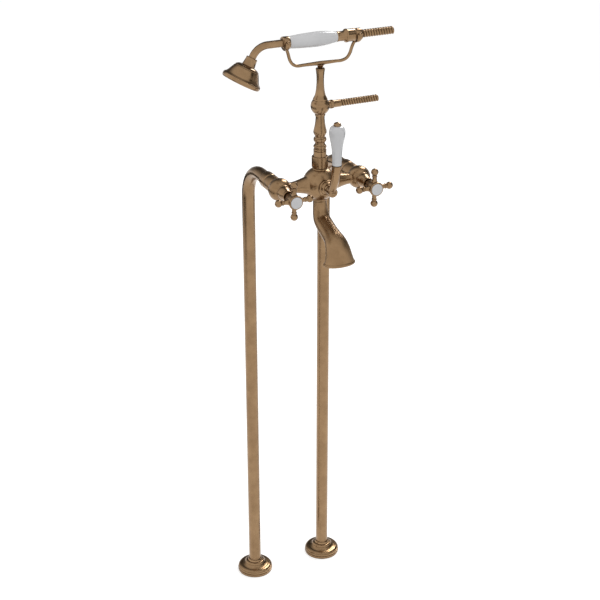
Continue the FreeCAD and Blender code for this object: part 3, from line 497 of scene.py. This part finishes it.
for side, sign in SIDES:
    hub = turned((LEG_X * sign, 0, AXIS_Z), FRONT,
                 [[(172.9, 7.6), (192.6, 7.6)],
                  [(192.6, 7.6), (194.2, 10.2), (197.0, 11.2), (200.0, 11.4), (204.5, 11.3)],
                  [(204.5, 11.3), (206.2, 11.0)],
                  [(206.2, 12.0), (208.6, 12.6), (210.6, 12.0)]],
                 [[(172.9, 6.5), (184.0, 6.5)], [(184.0, 4.0), (207.6, 4.0)],
                  [(207.6, 10.2), (210.6, 10.2)]])
    shapes = [hub]
    for direction in (X, -X, Z, -Z):
        shapes.append(handle_arm((LEG_X * sign, HANDLE_Y, AXIS_Z), direction))
    keep(fused(shapes), "valve_handle_" + side, BRONZE, "handle_" + side)


# ---- index discs -------------------------------------------------------------------------
# A slightly domed disc of fired and glazed porcelain is cemented into the cup of each handle,
# over its screw.

PORCELAIN = finish_coat("white glazed porcelain", (0.590, 0.590, 0.596), (0.545, 0.545, 0.552),
                        (0.20, 0.17, 0.13), metallic=0.0, gloss=(0.20, 0.27), coat=0.25,
                        grain=25, relief=0.01, pit=0.25)

for side, sign in SIDES:
    disc = turned((LEG_X * sign, 0, AXIS_Z), FRONT,
                  [[(207.6, 10.1), (211.4, 10.1)],
                   [(211.4, 10.1), (212.2, 9.4), (212.8, 6.0), (213.0, 0.0)]], edge=0.3)
    keep(disc, "index_disc_" + side, PORCELAIN, "handle_" + side)


# ---- diverter ----------------------------------------------------------------------------
# A brass plug turns in the bulb and sends the water to the spout or to the hand shower. A
# stepped round nut keeps it in, with a rubber ring round its stem.

refinish(RAW_BRASS, "diverter_plug")
refinish(RUBBER, "diverter_seal")
nut = turned((0, 0, HUB_Z), FRONT,
             [[(166.9, 14.4), (169.6, 14.6)],
              [(169.6, 14.6), (171.0, 14.2), (171.6, 13.2)],
              [(171.6, 11.8), (173.6, 11.2)],
              [(173.6, 11.2), (175.2, 10.2), (176.0, 8.6)],
              [(176.0, 8.0), (180.4, 7.6)]],
             [[(166.9, 4.05), (180.4, 4.05)]])
keep(nut, "diverter_bonnet", BRONZE, "frame")


# ---- diverter lever ----------------------------------------------------------------------
# A round boss sits on the plug's stem, held by a screw in its front, and a stout stalk leans
# forward and up from it to carry the porcelain.

LEVER_GRIP = Vector((0, -207.8, 930.0))


def swept(stations, across):
    """A skin over oval hoops: each station is its middle, its direction and two half widths."""
    bm = bmesh.new()
    across = Vector(across)
    hoop = open_ring(bm, (0, 0, 0), Z, radius=1.0, count=64)
    unit = [(v, v.co / MM) for v in corners_of(hoop)]
    for count, (centre, along, wide, deep) in enumerate(stations):
        along = Vector(along).normalized()
        other = along.cross(across)
        if count:
            moved, hoop = far_end(bmesh.ops.extrude_edge_only(bm, edges=hoop)["geom"])
            pairs = {}
            for vert in moved:
                for link in vert.link_edges:
                    pairs[link.other_vert(vert)] = vert
            unit = [(pairs[vert], spot) for vert, spot in unit]
        for vert, spot in unit:
            vert.co = (Vector(centre) + across * spot.x * wide + other * spot.y * deep) * MM
    bmesh.ops.holes_fill(bm, edges=[e for e in bm.edges if e.is_boundary])
    bmesh.ops.recalc_face_normals(bm, faces=bm.faces)
    return bm


def bar_along(route, plane, across):
    """A round bar whose stations are two places in a plane and a radius."""
    fine = through(route, steps=5)
    spots = [plane(first, second) for first, second, _ in fine]
    aims = [b - a for a, b in zip([spots[0], *spots], [*spots[1:], spots[-1]])]
    return swept([(spot, aim, r, r) for spot, aim, (_, _, r) in zip(spots, aims, fine)], across)


boss = turned((0, 0, HUB_Z), FRONT,
              [[(180.8, 7.2), (182.4, 8.2), (184.0, 8.4)],
               [(184.0, 8.4), (194.0, 8.4)],
               [(194.0, 8.4), (195.8, 7.8), (197.0, 6.4)]],
              [[(180.8, 4.0), (192.5, 4.0)], [(192.5, 1.7), (194.4, 1.7)],
               [(194.4, 3.6), (197.0, 3.6)]])
stalk = bar_along([(-190.6, 881.5, 6.6), (-193.3, 884.5, 6.9), (-199.0, 896.0, 7.2),
                   (-203.5, 911.0, 7.7), (-206.4, 921.0, 8.2), (LEVER_GRIP.y, LEVER_GRIP.z, 8.5)],
                  lambda y, z: Vector((0, y, z)), X)
keep(fused([boss, stalk]), "diverter_lever", BRONZE, "diverter")
refinish(BRONZE, "diverter_screw")


# ---- lever grip --------------------------------------------------------------------------
# A hollow porcelain handle that swells towards its top, clamped to the stalk by a brass rod
# with a domed cap.

grip = turned(LEVER_GRIP, Z,
              [[(0, 7.3), (0.6, 7.8)],
               [(0.6, 7.8), (14.0, 8.2), (27.0, 8.9), (37.0, 10.3), (45.0, 12.0), (52.0, 13.2),
                (58.5, 13.5), (63.5, 12.7), (67.0, 10.2), (68.6, 6.8)]],
              [[(0, 1.6), (68.6, 1.6)]])
keep(grip, "lever_grip", PORCELAIN, "diverter")
cap = turned(LEVER_GRIP, Z,
             [[(-9.5, 1.5), (68.6, 1.5)], [(68.6, 6.3), (70.8, 6.3)],
              [(70.8, 6.3), (73.4, 5.0), (75.2, 0.0)]], facets=64)
keep(cap, "lever_rod", BRONZE, "diverter")


# ---- spout -------------------------------------------------------------------------------
# The swan neck is cast brass: round at the mixer, widening to a flattened bell with a rolled
# lip. Its spigot plugs into the mixer with a rubber ring.

SPOUT_WALL = 2.2
SPOUT_TOP = 844.8
SPOUT_ROOF = 4          # the inside ends this many fine stations from the top
# Splashed and wiped more than the mixer, its casting is duller.
CASTING_WORN = finish_coat("handled cast bronze", BRONZE_LIGHT, BRONZE_DARK, BRONZE_SHADE_AND_GRIME,
                           metallic=1.0, gloss=(0.34, 0.42), coat=0.05, pit=0.82, shelter=0.80)
# Down the middle: y, z, lean from straight down in degrees, half width, half depth.
SPOUT_STATIONS = [(MIX_Y, 843.0, 0, 11.6, 11.6), (-143.2, 830.9, 12, 12.6, 11.9),
                  (-146.0, 822.0, 24, 13.9, 12.6), (-151.0, 813.0, 46, 15.0, 13.6),
                  (-162.5, 806.2, 65, 15.6, 14.6), (-178.8, 799.9, 71, 15.9, 15.0),
                  (-194.5, 795.0, 71, 17.0, 14.8), (-202.6, 792.0, 66, 18.6, 14.8),
                  (-209.6, 787.2, 46, 20.4, 15.0), (-215.4, 779.0, 27, 22.5, 14.8),
                  (-219.6, 768.0, 14, 25.0, 14.4),
                  (-221.0, 760.6, 0, 27.4, 14.8)]
# Below the last one: drop and how far the lip rolls out.
SPOUT_LIP = [(0.0, 0.0), (1.2, 1.4), (3.0, 1.9), (4.8, 1.3), (5.6, 0.2)]
# And where it turns in to the mouth: drop and how far inside the last station.
SPOUT_MOUTH = [(5.6, 1.6), (4.6, 2.1)]


def spout_skin():
    """The outside from the mixer down, round the lip, and the inside back up."""
    def station(y, z, lean, wide, deep, inset=0.0):
        lean = math.radians(lean)
        down = Vector((0, -math.sin(lean), -math.cos(lean)))
        return Vector((0, y, z)), down, wide - inset, deep - inset

    fine = through(SPOUT_STATIONS, steps=5)
    y, z, _, wide, deep = SPOUT_STATIONS[-1]
    neck = [station(MIX_Y, SPOUT_TOP, 0, 11.2, 11.2),
            station(MIX_Y, SPOUT_TOP - 0.3, 0, 11.5, 11.5)]
    outside = [station(*row) for row in fine[:-1]]
    lip = [station(y, z - drop, 0, wide + grow, deep + grow)
           for drop, grow in through(SPOUT_LIP, steps=3)]
    edge = [station(y, z - drop, 0, wide - shrink, deep - shrink)
            for drop, shrink in SPOUT_MOUTH]
    inside = [station(*row, SPOUT_WALL) for row in reversed(fine[SPOUT_ROOF:])]
    return swept(neck + outside + lip + edge + inside, X)


keep(spout_skin(), "spout", CASTING_WORN, "frame")
refinish(RUBBER, "spout_seal")


# ---- riser -------------------------------------------------------------------------------
# A plain round nut clamps the tail of a turned brass column to the mixer: drum, three beads
# and a baluster. A hollow ball on its top turns the water to the hose, and an upper baluster
# on the ball carries the cradle.

RISER = (0, MIX_Y, 0)
BALL_Z = 1013.9
BALL_R = 16.1

nut = turned(RISER, Z,
             [[(905.4, 13.4), (906.4, 14.1)], [(906.4, 14.1), (924.4, 14.1)],
              [(924.4, 14.1), (925.4, 13.2)]],
             [[(905.4, 11.62), (918.5, 11.62)], [(918.5, 11.05), (925.4, 11.05)]])
keep(nut, "riser_nut", BRONZE, "frame")
refinish(RUBBER, "riser_washer")

column = turned(RISER, Z,
                [[(916.0, 11.5), (918.5, 11.5)],
                 [(918.5, 11.0), (934.6, 11.0)],
                 [(934.6, 10.3), (935.0, 10.3)],
                 [(935.0, 10.4), (936.6, 11.2), (938.4, 10.4)],
                 [(938.4, 9.9), (940.4, 10.1)],
                 [(940.4, 10.4), (942.9, 11.3), (945.0, 10.1)],
                 [(945.0, 8.7), (948.8, 8.7)],
                 [(948.8, 8.7), (951.0, 9.3), (952.6, 10.6)],
                 [(952.6, 10.6), (955.2, 11.0), (957.6, 10.7)],
                 [(957.6, 9.0), (959.8, 8.4)],
                 [(959.8, 8.4), (962.4, 9.3), (965.4, 10.7), (968.6, 11.4), (972.2, 10.8),
                  (980.0, 9.1), (988.0, 8.0), (994.2, 7.6)],
                 [(994.2, 7.6), (997.2, 7.9)],
                 [(997.2, 6.5), (1003.4, 6.5)]],
                [[(916.0, 5.0), (1003.4, 5.0)]], edge=0.15)
keep(column, "riser_column", BRONZE, "frame")

ball_arc = round_arc(BALL_Z, BALL_R, first=146, last=49.3, steps=40)
ball = turned(RISER, Z, [[(997.2, 8.9), (1002.0, 8.9)],
                         *[list(pair) for pair in zip(ball_arc, ball_arc[1:])]])
outlet = turned((0, MIX_Y, BALL_Z), X, [[(8.0, 6.8), (17.6, 6.8)], [(17.6, 5.0), (25.0, 5.0)]])
keep(fused([ball, outlet]), "riser_ball", BRONZE, "frame")

post = turned(RISER, Z,
              [[(1018.8, 4.5), (1024.4, 4.5)],
               [(1024.4, 12.4), (1026.6, 12.2)],
               [(1026.6, 12.2), (1029.0, 10.9), (1032.6, 9.2), (1041.0, 7.35), (1050.0, 6.5),
                (1058.0, 6.2), (1067.0, 6.5), (1073.0, 7.2), (1075.4, 7.6)],
               [(1075.8, 7.2), (1076.2, 7.8)],
               [(1076.2, 7.8), (1078.0, 7.8)],
               [(1078.0, 7.8), (1078.5, 7.4)]],
              [[(1018.8, 3.0), (1055.9, 3.0)], [(1056.0, 3.45), (1078.5, 3.45)]])
keep(post, "cradle_post", BRONZE, "frame")
refinish(STEEL, "cradle_grub")


# ---- hose on the ball --------------------------------------------------------------------
# A brass ferrule holds a stub of wound metal hose. The hose is one profiled strip wound in a
# steady helix over a black liner.

RIB_FULLNESS = 0.6      # a plain arch is 1, and less is squarer
CLEAN_CUT = 0.001


def wound_hose(base, start, ribs, pitch, crest, root, bore, around=48, across_rib=8):
    """A strip wound along +X from a start, its ends cut square and rolled in to the bore."""
    base = Vector(base)
    bm = bmesh.new()
    rib = []
    for count in range(across_rib + 1):
        share = count / across_rib
        radius = root + (crest - root) * math.sin(math.pi * share) ** RIB_FULLNESS
        rib.append(bm.verts.new((base + Vector((start - pitch * (1 - share), 0, radius))) * MM))
    edges = [bm.edges.new(pair) for pair in zip(rib, rib[1:])]
    turns = ribs + 1
    bmesh.ops.spin(bm, geom=rib + edges, cent=base * MM, axis=X, dvec=X * pitch * MM / around,
                   angle=2 * math.pi * turns, steps=around * turns, use_merge=False,
                   use_duplicate=False)
    close_seams(bm)
    stop = start + ribs * pitch
    for at, facing in ((start, -1), (stop, 1)):
        bmesh.ops.bisect_plane(bm, geom=everything(bm), dist=CLEAN_CUT * MM,
                               plane_co=(base + X * at) * MM, plane_no=(facing, 0, 0),
                               clear_outer=True)
    rims = []
    for at in (start, stop):
        rim = [e for e in bm.edges
               if e.is_boundary and all(abs(v.co.x / MM - base.x - at) < HAIR for v in e.verts)]
        inner, inner_rim = far_end(bmesh.ops.extrude_edge_only(bm, edges=rim)["geom"])
        for vert in inner:
            spoke = Vector((0, vert.co.y, vert.co.z)) - Vector((0, base.y, base.z)) * MM
            vert.co = (base + X * at) * MM + spoke.normalized() * bore * MM
        rims += inner_rim
    bmesh.ops.bridge_loops(bm, edges=rims)
    return bm


# Painted shade lies darker and deeper between the turns of the strip than on the turned pieces.
HOSE_BRONZE = finish_coat("wound strip bronze", BRONZE_LIGHT, BRONZE_DARK, BRONZE_SHADE_AND_GRIME,
                          metallic=1.0, gloss=(0.24, 0.31), coat=0.12, pit=0.95, shelter=0.95)
ferrule = turned((0, MIX_Y, BALL_Z), X,
                 [[(17.6, 7.0), (18.4, 7.4)], [(18.4, 7.4), (23.0, 7.4)],
                  [(23.0, 7.4), (23.8, 6.9)], [(23.8, 6.4), (37.4, 6.3)],
                  [(37.4, 6.3), (38.0, 5.8)]],
                 [[(17.6, 5.0), (26.0, 5.0)], [(26.0, 4.0), (38.0, 4.0)]], edge=0.12)
keep(ferrule, "outlet_ferrule", BRONZE, "frame")
hose = wound_hose((0, MIX_Y, BALL_Z), start=38.0, ribs=15, pitch=4.63, crest=6.1, root=4.6,
                  bore=4.0)
keep(hose, "outlet_hose", HOSE_BRONZE, "frame")
refinish(RUBBER, "outlet_liner")


# ---- cradle ------------------------------------------------------------------------------
# A tapered brass bar with upturned ends, on a spigot that swivels in the post. On each end a
# U-shaped saddle with small ball tips takes a ferrule of the hand shower.

BAR_Z = 1087.2
BAR_END_R = 2.7
GRIP_Z = 1128.2
SEAT_R = 10.6
SADDLES = (-63.8, 66.2)
SADDLE_GAP = 0.3        # between a ferrule and its strap
SADDLE_OUT = 2.6        # from a ferrule to the outside of its strap
SADDLE_HALF = 3.9       # half a strap's width at the tips
KNEE_DOWN = 6           # below the ferrule's axis, where a strap begins to narrow quickly
KNEE_TO_FOOT = 7.2
NARROW_ABOVE, NARROW_BELOW = 0.3, 1.4
HORN = 2.6              # how far a strap goes on past the ferrule's axis
TIP_R, TIP_OUT, TIP_UP = 2.5, 3.0, 3.4


def saddle(at):
    """A strap under a ferrule, narrow at the bottom, with a ball on each tip."""
    centre = Vector((at, MIX_Y, GRIP_Z)) * MM
    inner, outer, half = SEAT_R + SADDLE_GAP, SEAT_R + SADDLE_OUT, SADDLE_HALF
    bm = bmesh.new()
    corners = [(-half, inner), (half, inner), (half, outer), (-half, outer)]
    verts = [bm.verts.new(centre + Vector((across, -radius, 0)) * MM)
             for across, radius in corners]
    band = bm.faces.new(verts)
    bmesh.ops.spin(bm, geom=[band], cent=centre, axis=X, dvec=(0, 0, 0), angle=math.pi,
                   steps=36, use_merge=False, use_duplicate=False)
    close_seams(bm)
    bmesh.ops.recalc_face_normals(bm, faces=bm.faces)
    for end in [f for f in bm.faces if all(abs(v.co.z - centre.z) < HAIR * MM for v in f.verts)]:
        made = bmesh.ops.extrude_discrete_faces(bm, faces=[end])["faces"]
        bmesh.ops.translate(bm, verts=made[0].verts, vec=Z * HORN * MM)
    for vert in bm.verts:
        below = (centre.z - vert.co.z) / MM
        to_knee = min(max(below, 0), KNEE_DOWN) / KNEE_DOWN
        past_knee = max(below - KNEE_DOWN, 0) / KNEE_TO_FOOT
        narrow = 1.0 - (NARROW_ABOVE * to_knee + NARROW_BELOW * past_knee) / SADDLE_HALF
        vert.co.x = centre.x + (vert.co.x - centre.x) * narrow
    soften(bm, 0.5)
    tips = []
    for sign in (-1, 1):
        tip = bmesh.new()
        place = Vector((at, MIX_Y + sign * (SEAT_R + TIP_OUT), GRIP_Z + TIP_UP)) * MM
        bmesh.ops.create_uvsphere(tip, u_segments=32, v_segments=20, radius=TIP_R * MM,
                                  matrix=Matrix.Translation(place))
        tips.append(tip)
    return [bm, *tips]


def in_plane(x, z):
    return Vector((x, MIX_Y, z))


left_end = [(-61.9, 1117.4), (-60.0, 1114.6), (-57.7, 1107.0), (-55.2, 1098.4), (-50.2, 1091.0),
            (-42.0, BAR_Z)]
middle = [(-30.0, BAR_Z, BAR_END_R), (-14.0, BAR_Z, 3.1), (0.0, BAR_Z, 3.5),
          (14.0, BAR_Z, 3.1), (30.0, BAR_Z, BAR_END_R)]
right_end = [(39.0, BAR_Z), (48.4, 1090.4), (54.0, 1097.6), (57.0, 1106.0), (60.0, 1113.0),
             (63.0, 1117.0)]
route = [(*spot, BAR_END_R) for spot in left_end] + middle
route += [(*spot, BAR_END_R) for spot in right_end]
bar = bar_along(route, in_plane, (0, 1, 0))
stem = turned(RISER, Z,
              [[(1057.0, 3.4), (1078.7, 3.4)],
               [(1078.7, 3.8), (1080.5, 4.3), (1083.0, 5.8), (1085.6, 7.6)]], facets=64)
shapes = [bar, stem]
for at in SADDLES:
    shapes += saddle(at)
keep(fused(shapes), "cradle", BRONZE, "cradle")


# ---- shower head -------------------------------------------------------------------------
# A spun brass bell: a rounded band at its rim, a groove and a sloping ledge, a long dome, and
# the same again, smaller, below its neck. The drilled spray plate is set into its mouth on a
# flat rubber seal.

HEAD_TILT = math.radians(29.0)
HEAD = Vector((-141.7, MIX_Y, 1074.0))
HEAD_UP = Vector((math.sin(HEAD_TILT), 0, math.cos(HEAD_TILT)))

bell = turned(HEAD, HEAD_UP,
              [[(-3.6, 31.2), (-3.0, 32.2)],
               [(-3.0, 32.2), (-1.2, 33.0), (1.0, 33.2), (3.2, 32.7), (4.2, 31.9)],
               [(4.3, 31.2), (4.6, 31.2)],
               [(4.6, 31.7), (6.0, 29.8)],
               [(6.0, 29.8), (7.4, 28.6), (10.4, 26.8), (14.3, 24.9), (18.5, 22.8), (21.4, 21.1)],
               [(21.7, 20.5), (22.1, 20.5)],
               [(22.1, 20.9), (22.7, 20.8)],
               [(22.7, 20.8), (24.4, 18.7)],
               [(24.4, 18.7), (25.6, 16.8), (26.5, 14.4), (26.9, 11.8)],
               [(26.9, 8.0), (34.0, 8.0)]],
              [[(-3.6, 29.6), (-1.2, 29.6)], [(-1.2, 28.6), (0.3, 28.6)],
               [(0.3, 27.6), (3.0, 27.4)], [(7.4, 26.0), (14.3, 22.6)],
               [(20.0, 19.4), (24.4, 9.0)], [(24.4, 4.8), (34.0, 4.8)]], facets=128)
keep(bell, "head_bell", BRONZE, "handset")
refinish(BRONZE, "head_face")
refinish(RUBBER, "face_seal", "neck_washer")


# ---- neck nut and hand shower tube -------------------------------------------------------
# A tapered nut, turned from brass, screws the bell to the hand shower's tube over a rubber
# washer. The tube is drawn brass, bent once, and runs on through the porcelain.

nut = turned(HEAD, HEAD_UP,
             [[(26.9, 10.7), (28.4, 10.9), (30.0, 10.5)], [(30.0, 10.5), (38.6, 9.4)],
              [(38.6, 9.4), (40.4, 9.5), (41.4, 8.6)]],
             [[(26.9, 8.02), (38.0, 8.02)], [(38.0, 6.22), (41.4, 6.22)]])
keep(nut, "neck_nut", BRONZE, "handset")

TUBE_R = 6.2
TUBE_BEND = 30.0
TUBE_WALL = 1.4
TUBE_START = 35.8       # up the bell's axis
TUBE_END = 44.0         # along the grip's axis
bend_angle = math.pi / 2 - HEAD_TILT
rise = (GRIP_Z - HEAD.z) / HEAD_UP.z
bend_start = rise - TUBE_BEND * math.tan(bend_angle / 2)
square_off = Vector((HEAD_UP.z, 0, -HEAD_UP.x))
tube = bmesh.new()
hoop = open_ring(tube, HEAD + HEAD_UP * TUBE_START, HEAD_UP, TUBE_R, count=64)
hoop = drawn_on(tube, hoop, HEAD_UP * (bend_start - TUBE_START))
bend_centre = HEAD + HEAD_UP * bend_start + square_off * TUBE_BEND
hoop = bent_on(tube, hoop, bend_centre, (0, 1, 0), bend_angle)
drawn_on(tube, hoop, X * (TUBE_END - bend_centre.x))
walled(tube, TUBE_WALL)
keep(tube, "handset_tube", BRONZE, "handset")


# ---- hand shower grip --------------------------------------------------------------------
# A thick porcelain sleeve between a brass ferrule at the head end and a waisted connector at
# the hose end. Ferrule and connector lie in the cradle's saddles.

GRIP = (0, MIX_Y, GRIP_Z)
TUBE_HOLE = TUBE_R + 0.02
ferrule = turned(GRIP, X,
                 [[(-68.6, 7.6), (-67.9, 8.4)], [(-67.9, SEAT_R), (-58.6, SEAT_R)],
                  [(-58.6, 10.4), (-57.0, 10.0)]],
                 [[(-68.6, TUBE_HOLE), (-57.0, TUBE_HOLE)]])
keep(ferrule, "grip_ferrule", BRONZE, "handset")
grip = turned(GRIP, X,
              [[(-57.0, 9.6), (-56.5, 10.0)],
               [(-56.5, 10.0), (-48.0, 10.8), (-38.0, 11.5), (-24.0, 12.1), (-8.0, 12.5),
                (2.0, 12.2), (14.0, 10.9), (24.0, 9.1), (28.4, 8.5)]],
              [[(-57.0, TUBE_HOLE), (28.4, TUBE_HOLE)]])
keep(grip, "handset_grip", PORCELAIN, "handset")
connector = turned(GRIP, X,
                   [[(28.4, 8.5), (29.6, 8.8), (31.0, 8.5)],
                    [(31.0, 8.5), (36.0, 8.2), (41.6, 8.5)],
                    [(41.6, 8.5), (43.4, 9.6), (44.6, 10.6)],
                    [(44.6, 11.0), (46.6, 11.4), (48.6, 11.0)],
                    [(48.6, SEAT_R), (61.4, SEAT_R)],
                    [(61.4, 8.0), (68.0, 8.0)]],
                   [[(28.4, TUBE_HOLE), (44.0, TUBE_HOLE)], [(44.0, 4.8), (68.0, 4.8)]])
keep(connector, "grip_connector", BRONZE, "handset")


# ---- hose on the hand shower -------------------------------------------------------------
# A cap nut, turned from brass, screws onto the connector and holds a stub of the same wound
# hose with its black liner.

nut = turned(GRIP, X,
             [[(61.4, 9.9), (62.0, 10.3)], [(62.0, 10.3), (72.4, 10.3)],
              [(72.4, 10.3), (74.4, 9.0), (76.0, 7.3)]],
             [[(61.4, 8.02), (68.0, 8.02)], [(68.0, 4.6), (76.0, 4.6)]])
keep(nut, "hose_nut", BRONZE, "handset")
hose = wound_hose(GRIP, start=76.0, ribs=12, pitch=4.78, crest=6.8, root=5.2, bore=4.6)
keep(hose, "handset_hose", HOSE_BRONZE, "handset")
refinish(RUBBER, "handset_liner")


# ---- studio ------------------------------------------------------------------------------
# A photographer's white floor with two soft lamps. Black cards lie round the object and stand
# to its right, where only the metal sees them, and give it its dark edges. Sizes from here on
# are in metres.

AIM = Vector((0, -0.14, 0.9))
FLOOR_GLOW = 0.45
FLOOR_TONE = 0.8
CARD_TONE, CARD_ROUGHNESS = 0.03, 0.9
CARD_LIFT = 0.004
CARD_AWAY = 2.4
LAMP_AWAY = 2.6


def plain_plane(name, size, centre, facing):
    turn = Z.rotation_difference(Vector(facing)).to_matrix().to_4x4()
    place = Matrix.Translation(Vector(centre)) @ turn @ Matrix.Diagonal((*size, 1, 1))
    bm = bmesh.new()
    bmesh.ops.create_grid(bm, x_segments=1, y_segments=1, size=0.5, matrix=place)
    piece = as_object(bm, name)
    return piece


def floor_finish():
    """White floor: camera and mirror rays see it lit from within, and it keeps its shadows."""
    material = bpy.data.materials.new("white studio floor")
    material.use_nodes = True
    nodes, links = material.node_tree.nodes, material.node_tree.links
    nodes.clear()
    path = nodes.new("ShaderNodeLightPath")
    seen = shader_link(nodes, links, "ShaderNodeMath",
                       {0: path.outputs["Is Camera Ray"], 1: path.outputs["Is Glossy Ray"]},
                       [("operation", "MAXIMUM")])
    glow = shader_link(nodes, links, "ShaderNodeMath", {0: seen.outputs[0], 1: FLOOR_GLOW},
                       [("operation", "MULTIPLY")])
    light = shader_link(nodes, links, "ShaderNodeEmission", {"Strength": glow.outputs[0]})
    matt = shader_link(nodes, links, "ShaderNodeBsdfDiffuse",
                       {"Color": (FLOOR_TONE, FLOOR_TONE, FLOOR_TONE, 1)})
    both = nodes.new("ShaderNodeAddShader")
    links.new(light.outputs[0], both.inputs[0])
    links.new(matt.outputs[0], both.inputs[1])
    out = nodes.new("ShaderNodeOutputMaterial")
    links.new(both.outputs[0], out.inputs["Surface"])
    return material


floor = plain_plane("floor", (30, 30), (0, 0, 0), Z)
floor.data.materials.append(floor_finish())

card_black = bpy.data.materials.new("black card")
card_black.use_nodes = True
card_shader = card_black.node_tree.nodes["Principled BSDF"]
card_shader.inputs["Base Color"].default_value = (CARD_TONE, CARD_TONE, CARD_TONE, 1)
card_shader.inputs["Roughness"].default_value = CARD_ROUGHNESS
card_side = Vector((0.757, -0.497, 0.413))
for name, size, place, facing in (
        ("card_behind", (6.4, 2.2), (0.2, 2.75, CARD_LIFT), Z),
        ("card_left_side", (1.9, 2.6), (-2.65, 0.3, CARD_LIFT), Z),
        ("card_right_side", (1.9, 2.6), (2.85, 0.3, CARD_LIFT), Z),
        ("card_right", (0.75, 0.95), AIM + card_side * CARD_AWAY, -card_side)):
    card = plain_plane(name, size, place, facing)
    card.data.materials.append(card_black)
    card.visible_camera = False
    card.visible_diffuse = False
    card.visible_shadow = False


def soft_lamp(name, direction, power, size, seen=True):
    """A soft box aimed at the object; seen tells whether the metal mirrors it."""
    place = AIM + Vector(direction) * LAMP_AWAY
    data = bpy.data.lights.new(name, "AREA")
    data.shape = "RECTANGLE"
    data.size, data.size_y = size
    data.energy = power
    lamp = bpy.data.objects.new(name, data)
    lamp.location = place
    lamp.rotation_euler = (AIM - place).to_track_quat("-Z", "Y").to_euler()
    lamp.visible_glossy = seen
    bpy.context.scene.collection.objects.link(lamp)


soft_lamp("lamp_right", (0.64, 0.52, 0.56), power=34, size=(0.65, 1.3))
soft_lamp("lamp_above", (-0.2, -0.6, 0.77), power=13, size=(1.2, 1.2), seen=False)

# The camera sees a white room. The metal sees it bright to the front and left and nearly dark
# to the right and behind, with a faint glow low down; everything else is lit by it evenly.
ROOM_EVEN = 0.70
ROOM_FRONT, ROOM_BACK, BACK_FROM = 1.05, 0.08, 0.85
LOW_GLOW, LOW_FROM, LOW_TO = 0.2, 0.10, 0.36
world = bpy.data.worlds.new("studio")
bpy.context.scene.world = world
world.use_nodes = True
nodes, links = world.node_tree.nodes, world.node_tree.links
path = nodes.new("ShaderNodeLightPath")
looking = shader_link(nodes, links, "ShaderNodeSeparateXYZ",
                      {"Vector": nodes.new("ShaderNodeTexCoord").outputs["Generated"]})
low = shader_link(nodes, links, "ShaderNodeMapRange",
                  {"Value": looking.outputs["Z"], "From Min": LOW_FROM, "From Max": LOW_TO,
                   "To Min": LOW_GLOW, "To Max": 0.0}, [("interpolation_type", "SMOOTHSTEP")])
right_and_back = shader_link(nodes, links, "ShaderNodeMath",
                             {0: looking.outputs["X"], 1: looking.outputs["Y"]},
                             [("operation", "ADD")])
ahead = shader_link(nodes, links, "ShaderNodeMapRange",
                    {"Value": right_and_back.outputs[0], "From Min": 0.0, "From Max": BACK_FROM,
                     "To Min": ROOM_FRONT, "To Max": ROOM_BACK},
                    [("interpolation_type", "SMOOTHSTEP")])
room = shader_link(nodes, links, "ShaderNodeMath",
                   {0: low.outputs["Result"], 1: ahead.outputs["Result"]},
                   [("operation", "ADD")])
level = shader_link(nodes, links, "ShaderNodeMix",
                    {"Factor": path.outputs["Is Glossy Ray"], "A": ROOM_EVEN,
                     "B": room.outputs[0]})
shown = shader_link(nodes, links, "ShaderNodeMix",
                    {"Factor": path.outputs["Is Camera Ray"], "A": level.outputs["Result"],
                     "B": 1.0})
links.new(shown.outputs["Result"], nodes["Background"].inputs["Strength"])
nodes["Background"].inputs["Color"].default_value = (1, 1, 1, 1)


# ---- camera ------------------------------------------------------------------------------
# The photographer's camera, a little to the left of the object and above it. Its place, tilt
# and lens were worked out from the photo, taking the legs to stand 150 mm apart.

CAMERA_PLACE = Vector((-0.965566, -2.184341, 1.730928))
CAMERA_TURN = math.radians(-24.4285)
CAMERA_DOWN = math.radians(25.5022)
CAMERA_ROLL = math.radians(-0.09)
LENS_MM, FILM_MM = 84.078, 36
camera_data = bpy.data.cameras.new("camera")
camera_data.lens = LENS_MM
camera_data.sensor_width = FILM_MM
camera = bpy.data.objects.new("camera", camera_data)
camera.matrix_world = (Matrix.Translation(CAMERA_PLACE) @ Matrix.Rotation(CAMERA_TURN, 4, "Z")
                       @ Matrix.Rotation(math.pi / 2 - CAMERA_DOWN, 4, "X")
                       @ Matrix.Rotation(CAMERA_ROLL, 4, "Z"))
bpy.context.scene.collection.objects.link(camera)
bpy.context.scene.camera = camera
bpy.context.scene.view_settings.view_transform = "Standard"
